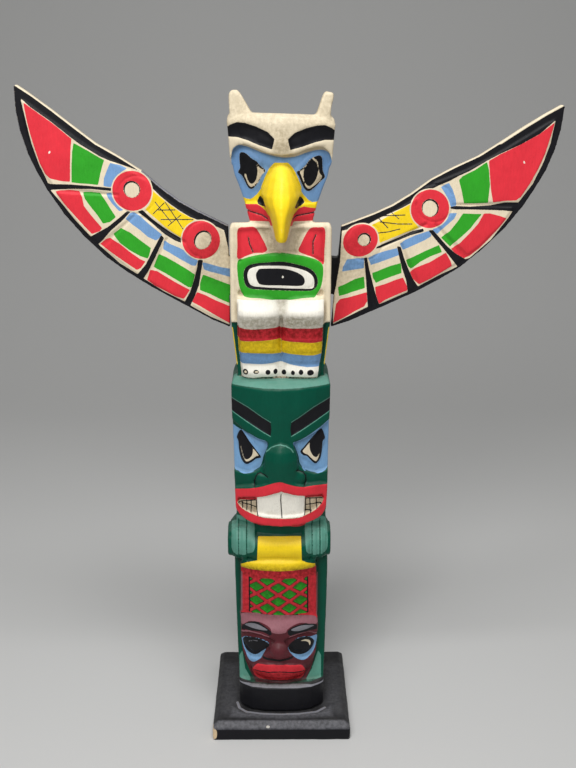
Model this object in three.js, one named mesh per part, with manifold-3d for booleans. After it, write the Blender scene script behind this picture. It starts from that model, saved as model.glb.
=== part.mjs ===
// A carved and painted model totem pole: one carved pole with a horned bird, a beaver holding a
// stick over its crosshatched tail, and a small face on a foot block; two wing boards tenoned
// into the bird's sides; and a chamfered square base. Millimetres, +Z up, the front faces -Y.
// The origin is the middle of the base's underside.
import * as THREE from "three";
import { mergeVertices } from "three/addons/utils/BufferGeometryUtils.js";
import Module from "manifold-3d";

const wasm = await Module();
wasm.setup();

// The base
const BASE_WIDTH = 112;
const BASE_DEPTH = 113;
const BASE_THICKNESS = 15;
const BASE_CHAMFER = 4.4;

// The pole stands on the base with a thin glue gap
const POLE_HEIGHT = 478;
const SEAT_GAP = 0.3;

// The wings: boards with raised paint panels, each with a tenon in a slot in the bird's side
const WING_LENGTH = 184.5;
const WING_BOARD = 7;
const WING_FRONT = 4;
const PANEL_RISE = 1;
const TENON_LENGTH = 15;
const TENON_HEIGHT = 29;
const TENON_DROP = 24;
const TENON_BURIED = 8;
const SLOT_CLEARANCE = 0.35;
const WING_PITCH = 33.7;
const LEFT_WING = { side: -1, standOff: 1.9, droop: 0 };
const RIGHT_WING = { side: 1, standOff: 1.7, droop: 5 };

// Every carved size of the pole is a count of this unit, and every carved height is counted
// from the pole's underside
const U = POLE_HEIGHT / 478;
const POLE_BOTTOM = BASE_THICKNESS + SEAT_GAP;
const BODY_HALF_WIDTH = 37.4;
const WING_FOOT = 316;

// Solids

function solidOf(geometry) {
  const bare = geometry.clone();
  bare.deleteAttribute("normal");
  bare.deleteAttribute("uv");
  const merged = mergeVertices(bare, 1e-4);
  const mesh = new wasm.Mesh({
    numProp: 3,
    vertProperties: merged.getAttribute("position").array,
    triVerts: new Uint32Array(merged.index.array),
  });
  return new wasm.Manifold(mesh);
}

function geometryOf(solid) {
  const mesh = solid.getMesh();
  const geometry = new THREE.BufferGeometry();
  const places = new THREE.BufferAttribute(new Float32Array(mesh.vertProperties), 3);
  geometry.setAttribute("position", places);
  geometry.setIndex(new THREE.BufferAttribute(new Uint32Array(mesh.triVerts), 1));
  geometry.computeVertexNormals();
  return geometry;
}

const join = (solids) => solids.reduce((whole, piece) => whole.add(piece));
const cut = (whole, tools) => tools.reduce((left, tool) => left.subtract(tool), whole);

// Turns a geometry in carving units into a solid on the pole; bend moves each point first
function carved(geometry, bend) {
  const places = geometry.getAttribute("position");
  const point = new THREE.Vector3();
  for (let i = 0; i < places.count; i++) {
    point.fromBufferAttribute(places, i);
    if (bend) bend(point);
    places.setXYZ(i, point.x * U, point.y * U, point.z * U + POLE_BOTTOM);
  }
  return solidOf(geometry);
}

const shapeOf = (points) => new THREE.Shape(points.map(([x, y]) => new THREE.Vector2(x, y)));
const mirrored = (points) => points.map(([x, y]) => [-x, y]).reverse();
const pair = (points) => [points, mirrored(points)];

// A smooth closed outline through a few points
function rounded(points, steps) {
  const knots = points.map(([x, y]) => new THREE.Vector3(x, y, 0));
  const curve = new THREE.CatmullRomCurve3(knots, true, "centripetal");
  return curve.getPoints(steps).slice(0, -1).map((p) => [p.x, p.y]);
}

// An outline of the front view, cut straight through from one depth to another
function prism(points, front, back, bend) {
  const depth = back - front;
  const geometry = new THREE.ExtrudeGeometry(shapeOf(points), { depth, bevelEnabled: false });
  geometry.rotateX(Math.PI / 2);
  geometry.translate(0, back, 0);
  return carved(geometry, bend);
}

const bar = (x0, x1, y0, y1, low, high, bend) =>
  prism([[x0, low], [x1, low], [x1, high], [x0, high]], y0, y1, bend);

function ball(x, y, n, rx, ry, rn, bend) {
  const geometry = new THREE.SphereGeometry(1, 12, 8);
  geometry.scale(rx, rn, ry);
  geometry.rotateX(Math.PI / 2);
  geometry.translate(x, y, n);
  return carved(geometry, bend);
}

// One ring of a log: a bowed front from side edge to side edge, straight flanks and a flat back
// with round corners. A level names its height n, half width w, the depth of its side edges e,
// of its crown c and of its back b, how square its bow is, and how far off the middle it sits.
const BOW_STEPS = 8;
const CORNER_STEPS = 2;
const BACK_CORNER = 7;
const BACK = 29;

function ringOf(level) {
  const { w, e, c, b = BACK, bow = 2, middle = 0 } = level;
  const corner = Math.min(BACK_CORNER, 0.6 * w, 0.4 * (b - e));
  const ring = [];
  for (let i = 0; i <= BOW_STEPS; i++) {
    const s = Math.sin((i / BOW_STEPS - 0.5) * Math.PI);
    ring.push([middle + w * s, e + (c - e) * (1 - Math.abs(s) ** bow)]);
  }
  for (const side of [1, -1]) {
    for (let i = 0; i <= CORNER_STEPS; i++) {
      const turn = ((side > 0 ? i : CORNER_STEPS - i) / CORNER_STEPS) * (Math.PI / 2);
      const x = side * (w - corner + corner * Math.cos(turn));
      ring.push([middle + x, b - corner + corner * Math.sin(turn)]);
    }
  }
  return ring;
}

// A stack of log rings from the lowest level to the highest; proud moves the front outwards
function stack(levels, proud = 0, bend = null) {
  const rings = levels.map((level) => ringOf({ ...level, e: level.e - proud, c: level.c - proud }));
  const around = rings[0].length;
  const floors = levels.length - 1;
  const geometry = new THREE.CylinderGeometry(1, 1, 1, around, floors);
  const places = geometry.getAttribute("position");
  for (let i = 0; i < places.count; i++) {
    const floor = Math.round((places.getY(i) + 0.5) * floors);
    const ring = rings[floor];
    const reach = Math.hypot(places.getX(i), places.getZ(i));
    const turn = Math.atan2(places.getX(i), places.getZ(i)) / (2 * Math.PI);
    const { n, c, b = BACK, middle = 0 } = levels[floor];
    const step = (Math.round(turn * around) + around) % around;
    const [x, y] = reach > 0.5 ? ring[step] : [middle, 0.5 * (c + b)];
    places.setXYZ(i, x, y, n);
  }
  return carved(geometry, bend);
}

const FAR = -90;
const DEEP = 12;

// Sinks an outline into a front by cutting down to the same front set back
const sink = (outline, floor, bend) => prism(outline, FAR, DEEP, bend).subtract(floor);
// Raises an outline to a front that stands proud
const raise = (outline, crest, bend) => prism(outline, FAR, DEEP, bend).intersect(crest);

// The foot block and the beaver's body behind the tail

function makeFoot() {
  const block = stack([
    { n: 0, w: 34.6, e: -28, c: -40, bow: 4 },
    { n: 21.5, w: 35.1, e: -28.5, c: -41, bow: 4 },
    { n: 24.4, w: 34.8, e: -25.6, c: -37, bow: 4 },
  ]);
  const body = stack([
    { n: 20, w: 34.8, e: -27, c: -33 },
    { n: 33, w: 35.4, e: -23.5, c: -29 },
    { n: 46, w: 36, e: -19.5, c: -25 },
    { n: 93, w: 37.2, e: -19, c: -25 },
    { n: 128, w: 37.6, e: -19, c: -26 },
    { n: 160, w: 36, e: -20, c: -28 },
    { n: 172, w: 35.4, e: -21, c: -31 },
  ]);
  return join([block, body]);
}

// The small face under the tail

const SMALL_FACE = [
  { n: 23.4, w: 18, e: -25.6, c: -33.6, b: 0, middle: -0.9 },
  { n: 36, w: 25.4, e: -27.6, c: -39, b: 0, middle: -1.2 },
  { n: 48, w: 29.6, e: -28.5, c: -40.5, b: 0, middle: -1.4 },
  { n: 60, w: 31.2, e: -28.5, c: -40, b: 0, middle: -1.5 },
  { n: 76, w: 31.5, e: -29.5, c: -42.5, b: 0, middle: -1.5 },
  { n: 84.5, w: 31, e: -28.5, c: -37.5, b: 0, middle: -2 },
];

function makeSmallFace() {
  const face = stack(SMALL_FACE);
  const crest = (proud) => stack(SMALL_FACE, proud);
  const shift = (points) => points.map(([x, n]) => [x - 1.5, n]);
  const socket = [
    [3.5, 66], [13, 70], [24, 70.5], [32, 66], [30, 54], [25.5, 46.5], [20, 46], [11, 52.5],
  ];
  const eye = [
    [6.9, 64], [14.3, 66.9], [22.4, 66.3], [29.3, 60.8], [25.8, 54.6], [20, 53], [12.8, 56.5],
  ];
  const brow = [
    [7.4, 75.8], [13.4, 79.7], [21, 79.6], [30.5, 75], [30.5, 70.2], [21, 72.8], [7.4, 71.4],
  ];
  const lips = [
    [-24.2, 37.6], [-20.8, 41.9], [-15.8, 44], [-1.2, 45.6], [12.7, 43.1], [17.7, 40.4],
    [19.8, 36.2], [18.6, 32], [15.3, 29.6], [7, 30.7], [-5.3, 31.2], [-15.9, 30.4],
    [-20.9, 31], [-23.4, 34.2],
  ];
  const mouth = [
    [-21.8, 34.8], [-1.2, 38], [18.6, 33.7], [18.6, 35.1], [-1.2, 39.4], [-21.8, 36.2],
  ];
  const both = (points, steps) => pair(rounded(points, steps)).map(shift);
  const cuts = [
    ...both(socket, 14).map((outline) => sink(outline, crest(-3))),
    ...both(brow, 10).map((outline) => sink(outline, crest(-0.8))),
  ];
  const nose = join([
    ball(-1.9, -37.5, 56.5, 8.2, 8.5, 9),
    ball(-1.9, -37.5, 53, 10.4, 6.6, 4),
  ]);
  const bumps = [
    ...both(eye, 12).map((outline) => raise(outline, crest(-1.6))),
    raise(rounded(lips, 18), crest(2.6)),
    nose.subtract(bar(-30, 30, FAR, 0, 40, 51)),
  ];
  return cut(join([cut(face, cuts), ...bumps]), [prism(mouth, FAR, -20).subtract(crest(0.2))]);
}

// The crosshatched tail, with the ledge and the stick over it

const TAIL = [
  { n: 82, w: 31.2, e: -28.5, c: -37.5, b: 0, middle: -2 },
  { n: 130, w: 30.6, e: -28.5, c: -37.5, b: 0, middle: -2.2 },
];
const LATTICE = { left: -25.9, right: 21.2, low: 88.4, high: 119.9, across: 17.7, up: 12.2, line: 2.4 };

function makeTail() {
  const { left, right, low, high, across, up, line } = LATTICE;
  const field = prism([[left, low], [right, low - 1], [right, high], [left, high]], FAR, DEEP);
  const hollow = field.subtract(stack(TAIL, -1.2));
  const reach = right - left;
  const ribs = [];
  const count = Math.ceil((reach / across + (high - low) / up) / 2);
  const slope = Math.atan2(up, across);
  const thick = line / Math.cos(slope);
  for (const side of [-1, 1]) {
    for (let i = -count; i <= count; i++) {
      const foot = (low + high) / 2 + i * up;
      const rise = (side * reach * up) / across / 2;
      const ends = [[left, foot - rise], [right, foot + rise]];
      const outline = [...ends, ...[...ends].reverse().map(([x, n]) => [x, n + thick])];
      ribs.push(prism(outline, FAR, DEEP));
    }
  }
  const lattice = join(ribs).intersect(field).intersect(stack(TAIL, -0.2));
  return cut(stack(TAIL), [hollow]).add(lattice);
}

function makeStick() {
  const ledge = stack([
    { n: 128, w: 29.4, e: -30, c: -37.4, b: 0, middle: -2.3, bow: 3 },
    { n: 133, w: 29.4, e: -29.6, c: -36.6, b: 0, middle: -2.3, bow: 3 },
    { n: 136, w: 22, e: -26, c: -33.6, b: 0, middle: -1.2, bow: 3 },
  ]);
  const round = new THREE.CylinderGeometry(11.5, 11.5, 44, 20);
  round.rotateZ(Math.PI / 2);
  round.scale(1, 1.05, 1);
  round.translate(-1, -23.5, 143.5);
  return join([ledge, carved(round), bar(-18.4, 16.4, -33.5, 0, 133, 143)]);
}

// A finger is a curled side view, drawn as depth and height, with its long edges taken off
function makeFinger(x, width, size) {
  const edge = 1;
  const curl = [
    [-12, 133.6], [-29, 133.4], [-33, 137], [-34.2, 144], [-33, 151], [-29, 157.5], [-22, 161.2],
    [-12, 161],
  ];
  const outline = curl.map(([y, n]) => [147.3 + (n - 147.3) * size, -y * size]);
  const shape = shapeOf(outline);
  const depth = width - 2 * edge;
  const bevel = { bevelThickness: edge, bevelSize: edge, bevelOffset: -edge, bevelSegments: 1 };
  const geometry = new THREE.ExtrudeGeometry(shape, { depth, ...bevel });
  const upright = new THREE.Matrix4().makeBasis(
    new THREE.Vector3(0, 0, 1),
    new THREE.Vector3(0, -1, 0),
    new THREE.Vector3(1, 0, 0),
  );
  geometry.translate(0, 0, -depth / 2);
  geometry.applyMatrix4(upright);
  geometry.translate(x, 0, 0);
  return carved(geometry);
}

const FINGERS = [
  { x: 22.2, size: 0.98 },
  { x: 27.6, size: 1 },
  { x: 33, size: 0.97 },
  { x: 37.8, size: 0.88 },
];
const FINGER_WIDTH = 6.5;

function makePaw(side) {
  const fingers = FINGERS.map(({ x, size }) => makeFinger(side * x - 1.5, FINGER_WIDTH, size));
  const hand = [
    [19.5, 136], [19.5, 158], [24, 160.6], [36, 159.6], [40.2, 154], [40.2, 141], [37, 136],
  ];
  const outline = (side > 0 ? hand : mirrored(hand)).map(([x, n]) => [x - 1.5, n]);
  return join([...fingers, prism(outline, -27, 2)]);
}

// The beaver's head

const BEAVER = [
  { n: 165, w: 35, e: -22, c: -36 },
  { n: 200, w: 36.6, e: -24, c: -38.5 },
  { n: 262, w: 37.8, e: -25, c: -40 },
  { n: 277.5, w: 37.8, e: -25, c: -40 },
  { n: 280, w: 37, e: -22.5, c: -36 },
  { n: 282.4, w: 36, e: -18, c: -24 },
];
const INCISOR_RISE = 2.6;
const TEETH_GROOVE = 0.9;

function makeBeaver() {
  const crest = (proud) => stack(BEAVER, proud);
  const brow = [
    [38.5, 268.5], [25, 262.3], [7.9, 251.8], [7.2, 246.4], [8, 240.5], [25, 250.2], [38.5, 258],
  ];
  const socket = [
    [39, 250.5], [27.4, 242.2], [18, 237.6], [9.5, 235.4], [10.6, 227], [13.2, 217],
    [18.5, 210.9], [26.5, 207.2], [34, 207.4], [39, 210],
  ];
  const eye = [
    [31.3, 241], [34, 233.4], [31.6, 226], [30.4, 218.6], [26.8, 214.4], [21.8, 218.4],
    [15.9, 224.4], [21, 231.4], [26, 237],
  ];
  const lipOuter = [
    [-37.5, 194.5], [-20, 199.6], [-10, 203], [0, 206], [8, 203.4], [20, 200], [37.5, 198.2], [38, 182],
    [33.6, 173], [26.5, 169.2], [14.7, 167.4], [-14.9, 167.2], [-26.7, 168.8], [-33.4, 173.6], [-38, 182],
  ];
  const lipInner = [
    [-34, 186.4], [-19.4, 190.4], [-8.5, 193.6], [0, 196.8], [8.4, 194], [18.5, 191.6], [33, 189.6],
    [33.2, 184.6], [28.9, 179.6], [18.6, 175.9], [-16.4, 176.3], [-26.6, 178], [-32.6, 180.8],
  ];
  const cuts = [
    ...pair(brow).map((outline) => sink(outline, crest(-1.2))),
    ...pair(socket).map((outline) => sink(outline, crest(-5.5))),
  ];
  const lips = raise(rounded(lipOuter, 27), crest(5)).subtract(prism(rounded(lipInner, 22), FAR, DEEP));
  const incisors = [
    [-18.6, 176], [-16.4, 174.6], [17, 174.4], [18.2, 176], [18.6, 191.8], [8.4, 194], [0, 197],
    [-8.5, 193.8], [-18.8, 190.6],
  ];
  const nose = stack([
    { n: 203.5, w: 12.4, e: -39.6, c: -43.4, b: 0 },
    { n: 213, w: 12.8, e: -39.6, c: -45.2, b: 0 },
    { n: 222, w: 12.9, e: -38.6, c: -46, b: 0 },
    { n: 228.5, w: 11.4, e: -37.6, c: -45.2, b: 0 },
    { n: 233, w: 8.2, e: -36.6, c: -42.8, b: 0 },
    { n: 236.2, w: 3, e: -36, c: -38.6, b: 0 },
  ]);
  const bumps = [
    ...pair(rounded(eye, 14)).map((outline) => raise(outline, crest(-4))),
    lips,
    raise(incisors, crest(INCISOR_RISE)),
    nose,
    ball(-13.2, -33, 205.4, 8, 7, 8),
    ball(12.8, -33, 206.6, 7.8, 7, 8),
  ];
  const gap = bar(-0.5, 0.5, FAR, DEEP, 174, 197).subtract(crest(INCISOR_RISE - TEETH_GROOVE));
  return cut(join([cut(crest(0), cuts), ...bumps]), [gap]);
}

// The bird's body, with its rails, chest, belly panel and folded legs

const BODY = [
  { n: 280, w: 32.6, e: -17, c: -19 },
  { n: 287, w: 33.2, e: -18, c: -20.5 },
  { n: 327, w: BODY_HALF_WIDTH, e: -21.6, c: -23 },
  { n: 397.5, w: BODY_HALF_WIDTH, e: -22.4, c: -24 },
  { n: 400.6, w: 36, e: -20.6, c: -22.2 },
];
const LEG = [
  { n: 283.6, w: 14.2, c: -26.5, middle: 14.6 },
  { n: 288, w: 14.4, c: -28, middle: 14.8 },
  { n: 294.6, w: 14.6, c: -26.4, middle: 14.9 },
  { n: 296.2, w: 14.8, c: -27.6, middle: 15.2 },
  { n: 303, w: 14.9, c: -28.4, middle: 15.4 },
  { n: 304.6, w: 15, c: -29.8, middle: 15.6 },
  { n: 312.6, w: 15, c: -30.4, middle: 15.9 },
  { n: 314.2, w: 15, c: -31.4, middle: 16 },
  { n: 323.6, w: 15.1, c: -31.6, middle: 16.1 },
  { n: 325.4, w: 15.2, c: -33.6, middle: 16.2 },
  { n: 333.6, w: 15.3, c: -38, middle: 16.3 },
  { n: 337.6, w: 15.3, c: -37.4, middle: 16.3 },
  { n: 346.4, w: 15.1, c: -28.4, middle: 16.3 },
];
// The front of the belly panel that is carved as an eye
const PLATE = [
  { n: 340, w: 32, e: -24.4, c: -28.2, b: 0 },
  { n: 380, w: 32, e: -24.4, c: -28.2, b: 0 },
];

const RAIL_RISE = 3.4;
const SHOULDER_RISE = 2.6;
const PATCH_RISE = 1.2;
const SHOULDER_SLOPE = 0.13;

// The shoulders fall away towards the back
const slopeBack = (point) => {
  if (point.z > 396) point.z -= (point.y + 22) * SHOULDER_SLOPE;
};

function makeBody() {
  const crest = (proud) => stack(BODY, proud, slopeBack);
  const rail = [[31.6, 326.5], [37.6, 326.5], [37.6, 396], [35.8, 400.4], [31.6, 401.6]];
  const shoulder = [
    [-36, 400], [-30, 401.6], [-22, 402.6], [24, 402], [31.6, 401.4], [36, 400.4], [37, 397],
    [20, 396.6], [-17, 397], [-37, 396],
  ];
  const redPatch = [[32, 396.6], [20.5, 397], [11.6, 382.8], [11.8, 379.6], [26, 376], [32, 373]];
  const crease = [[26.6, 388.2], [24.2, 383], [23.4, 377], [24.8, 377], [25.6, 383]];
  const panel = [
    [-31.4, 370], [-25.3, 374.6], [-8, 378.8], [12.8, 377.6], [28, 372.6], [31.4, 368], [31, 355],
    [28, 348.8], [22, 345.6], [-0.5, 344.4], [-24, 345.6], [-30, 351], [-31.5, 360],
  ];
  const ring = [
    [-26.6, 366], [-22.5, 370.4], [-15, 372.4], [3.3, 372.6], [14.2, 370.2], [22.4, 367], [27, 361.6],
    [27.2, 355.6], [23.4, 351.6], [-0.5, 351.8], [-21, 352.6], [-25.8, 356.4],
  ];
  const white = [
    [-24.3, 364.6], [-20.6, 368.4], [-14, 369.6], [3.2, 369.6], [14.3, 367.2], [21.4, 364], [24.4, 359],
    [22, 353.8], [-0.4, 353.6], [-18.9, 354.4], [-23.3, 357.4],
  ];
  const rails = pair(rail).map((points) => raise(points, crest(RAIL_RISE)));
  const patches = pair(redPatch).map((points) => raise(points, crest(PATCH_RISE)));
  const creases = pair(crease).map((points) => sink(points, crest(0)));
  const plate = (proud) => stack(PLATE, proud);
  const raisedPanel = raise(rounded(panel, 22), plate(0));
  const groove = sink(rounded(ring, 20), plate(-0.9)).subtract(prism(rounded(white, 18), FAR, DEEP));
  const legs = [];
  for (const side of [-1, 1]) {
    const levels = LEG.map(({ n, w, c, middle }) => ({
      n, w, c, e: c + 5, b: -4, bow: 4, middle: side * middle + (side > 0 ? 0.9 : -0.2),
    }));
    legs.push(stack(levels));
  }
  const spine = bar(-4, 4, -24, 0, 284, 345);
  const web = stack([
    { n: 329, w: 5, e: -25, c: -26, b: 0, middle: 0.5 },
    { n: 334, w: 5, e: -33, c: -34, b: 0, middle: 0.5 },
    { n: 338, w: 5, e: -32, c: -33, b: 0, middle: 0.5 },
    { n: 346.4, w: 5, e: -24, c: -25, b: 0, middle: 0.5 },
  ]);
  return join([
    cut(join([crest(0), ...rails, raise(shoulder, crest(SHOULDER_RISE)), ...patches]), creases),
    cut(raisedPanel, [groove]),
    ...legs,
    spine,
    web,
  ]);
}

// The bird's head leans a little: its left side is carved higher than its right

const HEAD_FOOT = 403;
const HEAD_RISE = 60;
const HEAD_LEAN = 0.034;
const HEAD_SHIFT = 0.6;
const CROWN_FOOT = 476;
const CROWN_FRONT = -33;
const CROWN_SLOPE = 0.03;
const lean = (point) => {
  if (point.z > CROWN_FOOT) point.z -= (point.y - CROWN_FRONT) * CROWN_SLOPE;
  const up = Math.max(0, Math.min(1, (point.z - HEAD_FOOT) / HEAD_RISE));
  point.z -= (point.x - HEAD_SHIFT) * HEAD_LEAN * up;
  point.x += HEAD_SHIFT;
};

const FACE = [
  { n: 386, w: 20.6, e: -17, c: -20, b: 25 },
  { n: 404, w: 23.6, e: -20, c: -27, b: 26.5 },
  { n: 414, w: 26.2, e: -21, c: -29, b: 27.5 },
  { n: 424, w: 29.6, e: -22, c: -30.5 },
  { n: 434, w: 33.4, e: -22.5, c: -31.5 },
  { n: 444, w: 35.3, e: -23, c: -32 },
  { n: 474.4, w: 37.6, e: -24, c: -33 },
];
const HOOD = [
  { n: 442, w: 35.9, e: -25, c: -35 },
  { n: 448, w: 36.5, e: -28, c: -38 },
  { n: 458, w: 37.2, e: -29.4, c: -40 },
  { n: 471, w: 38.3, e: -29.4, c: -39 },
  { n: 475, w: 37.6, e: -28, c: -37 },
  { n: 477.6, w: 35.6, e: -25, c: -33 },
];
const BEAK = [
  { n: 390.6, w: 3.2, e: -52.5, c: -57, b: -44 },
  { n: 392.6, w: 4.3, e: -50, c: -58.6, b: -40 },
  { n: 397, w: 5.3, e: -47, c: -59.6, b: -34 },
  { n: 403, w: 6.8, e: -43.5, c: -59.8, b: -28 },
  { n: 409, w: 9.2, e: -38, c: -59, b: -20, bow: 2.3 },
  { n: 414.5, w: 12.8, e: -34, c: -57.6, b: -10, bow: 2.3 },
  { n: 421, w: 14.8, e: -30.6, c: -54.6, b: -10, bow: 2.4 },
  { n: 427, w: 13.4, e: -30, c: -50.8, b: -10, bow: 2.4 },
  { n: 434, w: 10.6, e: -30, c: -45, b: -10, bow: 2.5 },
  { n: 440, w: 7.6, e: -30, c: -38.6, b: -10, bow: 2.5 },
  { n: 443.8, w: 4, e: -29, c: -32.8, b: -10, bow: 2.5 },
];
const UNDERBEAK = [
  { n: 391.6, w: 4.6, e: -43, c: -49, b: -36 },
  { n: 396, w: 6.6, e: -39, c: -49, b: -30 },
  { n: 402, w: 8.6, e: -33, c: -48, b: -20 },
  { n: 408, w: 11, e: -28, c: -44, b: -10 },
  { n: 413, w: 14, e: -26, c: -38, b: -10 },
];

// The horns grow thinner from front to back towards their tips
const HORN_FRONT = -30;
const HORN_BACK = -17;
const HORN_LENGTH = 17;
const HORN_TAPER = 0.35;
const LEFT_HORN = [
  [-36.4, 489.8], [-35.2, 492.6], [-33.6, 493.4], [-30.2, 493.4], [-28.2, 491.4], [-19, 476],
  [-35.4, 475],
];
const RIGHT_HORN = [
  [24, 474], [26.8, 480.4], [29.2, 487.9], [30.6, 491.4], [32, 492.6], [37.6, 491.4],
  [37.6, 488.4], [35.8, 481], [35.4, 473],
];
const hornTaper = (point) => {
  const middle = (HORN_FRONT + HORN_BACK) / 2;
  const up = Math.max(0, (point.z - CROWN_FOOT) / HORN_LENGTH);
  point.y = middle + (point.y - middle) * (1 - HORN_TAPER * up);
};

function makeHead() {
  const faceCrest = (proud) => stack(FACE, proud, lean);
  const hoodCrest = (proud) => stack(HOOD, proud, lean);
  const opening = [
    [-35, 430], [35, 430], [35.4, 447], [34.3, 451.8], [30.4, 455.4], [25.4, 456],
    [17.3, 453.6], [9.6, 450.4], [0, 449], [-9.6, 450.4], [-17.3, 453.6], [-25.4, 456],
    [-30.4, 455.4], [-34.3, 451.8], [-35.4, 447],
  ];
  const brow = [
    [4.6, 460.4], [9.4, 465], [17.6, 468.4], [25, 470.4], [31, 470.8], [35.4, 469], [38.6, 467],
    [38.6, 460.6], [30.8, 460.6], [23.6, 458.8], [15.4, 455.8], [6.4, 453.2],
  ];
  const eye = [
    [9.8, 438.7], [16, 444.8], [22.2, 450.4], [28.6, 450.2], [29.4, 444], [30.2, 437.4],
    [25.4, 430], [20.6, 424.6], [16, 429.6],
  ];
  const nostril = [[14, 421.6], [16.4, 417.8], [11.2, 413.6], [12.4, 419.4]];
  const lip = [[0, 401.8], [23.4, 402.4], [26.6, 414.6], [16.8, 415], [13, 413], [0, 413]];
  const hood = cut(hoodCrest(0), [
    prism(opening, FAR, -16, lean),
    ...pair(brow).map((outline) => sink(outline, hoodCrest(-1.2), lean)),
  ]);
  const lips = pair(lip).map((outline) => raise(outline, faceCrest(2.6), lean));
  const slits = [-1, 1].map((side) => {
    const outline = [[side * 26, 407.6], [side * 11, 406.2], [side * 11, 407.6], [side * 26, 409]];
    return prism(side < 0 ? outline : [...outline].reverse(), FAR, DEEP, lean).subtract(faceCrest(0.6));
  });
  const beak = join([stack(BEAK, 0, lean), stack(UNDERBEAK, 0, lean)]);
  const face = cut(join([faceCrest(0), ...lips]), slits);
  const holes = pair(nostril).map((outline) => prism(outline, FAR, -29.5, lean));
  const eyes = pair(rounded(eye, 14)).map((outline) => raise(outline, faceCrest(1.2), lean));
  const horn = (side) => {
    const tip = side < 0 ? LEFT_HORN : RIGHT_HORN;
    return prism(tip, HORN_FRONT, HORN_BACK, hornTaper);
  };
  return join([cut(join([face, beak]), holes), ...eyes, hood, horn(-1), horn(1)]);
}

// The wings. An outline is drawn from the root's top corner towards the tip, as shares of the
// wing's length, with the root edge turned upright at the body.

const W = WING_LENGTH / 184.5;
const WING_OUTLINE = [
  [0, 0], [12, -1.6], [26, -3.6], [41, -4.8], [57, -4], [75, -1.6], [94, -2], [114, -3.4],
  [132, -2.2], [153, -0.6], [170, 0.3], [183.6, 0.4], [184.4, -1.8], [175.6, -15], [165, -26.8],
  [153, -37], [140.4, -45], [127, -52.6], [107, -61.4], [86, -67.4], [65.1, -71.6], [46, -72.6],
  [24, -72.2], [-1.9, -70.4], [-29.7, -68], [-44, -65.4],
];
const RINGS = [{ x: 69.6, y: -18.8 }, { x: 9.6, y: -18.8 }];
const RING_RADIUS = 13.4;
const RING_GROOVE = 1.4;
const GROOVE_REACH = 5;
const RING_SIDES = 16;
const DIVIDER_THIN = 1;
const DIVIDER_WIDE = 2.6;
const RING_LINK = [[19, -30], [58, -31], [58, -28], [19, -27.2]];
const PANEL_FIELD = [
  [-3, -4.4], [9.6, -4], [20, -9.4], [36, -10.4], [52, -9.4], [60, -8.4], [69.6, -4.4],
  [84, -6.4], [100, -8.2], [118, -9], [139, -8.2], [156, -7.4], [168, -6.6], [174.2, -6.8],
  [166, -16.6], [158.6, -24.2], [141.4, -38.4], [127.8, -45.7], [104.5, -57.7], [84.7, -63.7],
  [65, -66.8], [42.7, -68.8], [17.6, -68.4], [-3, -67], [-26.4, -65], [-46, -62.6],
];
const DIVIDERS = [
  [[80, -25.8], [126, -50.8]],
  [[62.6, -32], [72.6, -68.6]],
  [[33.6, -33], [29.4, -71]],
  [[4, -31.4], [-8, -68.6]],
];

function wingPrism(points, front, back) {
  const depth = back - front;
  const scaled = points.map(([x, y]) => [x * W, y * W]);
  const geometry = new THREE.ExtrudeGeometry(shapeOf(scaled), { depth, bevelEnabled: false });
  geometry.rotateX(Math.PI / 2);
  geometry.translate(0, back, 0);
  return solidOf(geometry);
}

function disc(x, y, radius, front, back) {
  const points = [];
  for (let i = 0; i < RING_SIDES; i++) {
    const turn = (i / RING_SIDES) * 2 * Math.PI;
    points.push([x + radius * Math.cos(turn), y + radius * Math.sin(turn)]);
  }
  return wingPrism(points, front, back);
}

// A divider is a thin wedge that widens towards the feather tips
function divider([[x0, y0], [x1, y1]]) {
  const length = Math.hypot(x1 - x0, y1 - y0);
  const across = [-(y1 - y0) / length, (x1 - x0) / length];
  const offset = (x, y, half) => [
    [x + across[0] * half, y + across[1] * half],
    [x - across[0] * half, y - across[1] * half],
  ];
  const [a, b] = offset(x0, y0, DIVIDER_THIN);
  const [d, c] = offset(x1, y1, DIVIDER_WIDE);
  return [a, b, c, d];
}

// The board, and on it the raised panels with grooves between the feathers and round the rings
function makeBoard() {
  const back = WING_FRONT + WING_BOARD;
  const face = WING_FRONT - PANEL_RISE;
  const clear = face - GROOVE_REACH;
  const outline = [...WING_OUTLINE].reverse();
  const board = wingPrism(outline, WING_FRONT, back);
  const rings = RINGS.map(({ x, y }) => disc(x, y, RING_RADIUS, face, back));
  const grooves = [
    ...DIVIDERS.map((line) => wingPrism(divider(line), clear, WING_FRONT)),
    ...RINGS.map(({ x, y }) =>
      disc(x, y, RING_RADIUS + RING_GROOVE, clear, WING_FRONT).subtract(
        disc(x, y, RING_RADIUS, clear - GROOVE_REACH, back),
      ),
    ),
    wingPrism(RING_LINK, clear, WING_FRONT),
  ];
  const panels = cut(join([wingPrism([...PANEL_FIELD].reverse(), face, back), ...rings]), grooves);
  return board.add(panels.intersect(wingPrism(outline, face, back)));
}

// A wing's lowest corner, about which it is leant, in its own frame
const ROOT_FOOT = WING_OUTLINE[WING_OUTLINE.length - 1].map((share) => share * W);
const ROOT_LENGTH = Math.hypot(...ROOT_FOOT);

// Puts a wing's own frame on the pole: its root edge upright at the body, then leant outwards
// about its lowest corner and mirrored to its side
function placeWing(solid, { side, standOff, droop }) {
  const pitch = THREE.MathUtils.degToRad(WING_PITCH - droop);
  const footX = BODY_HALF_WIDTH * U + standOff;
  const place = new THREE.Matrix4()
    .makeTranslation(side * footX, 0, POLE_BOTTOM + WING_FOOT * U)
    .multiply(new THREE.Matrix4().makeScale(side, 1, 1))
    .multiply(new THREE.Matrix4().makeRotationY(-pitch))
    .multiply(new THREE.Matrix4().makeTranslation(-ROOT_FOOT[0], 0, -ROOT_FOOT[1]));
  return solid.transform(place.elements);
}

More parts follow.
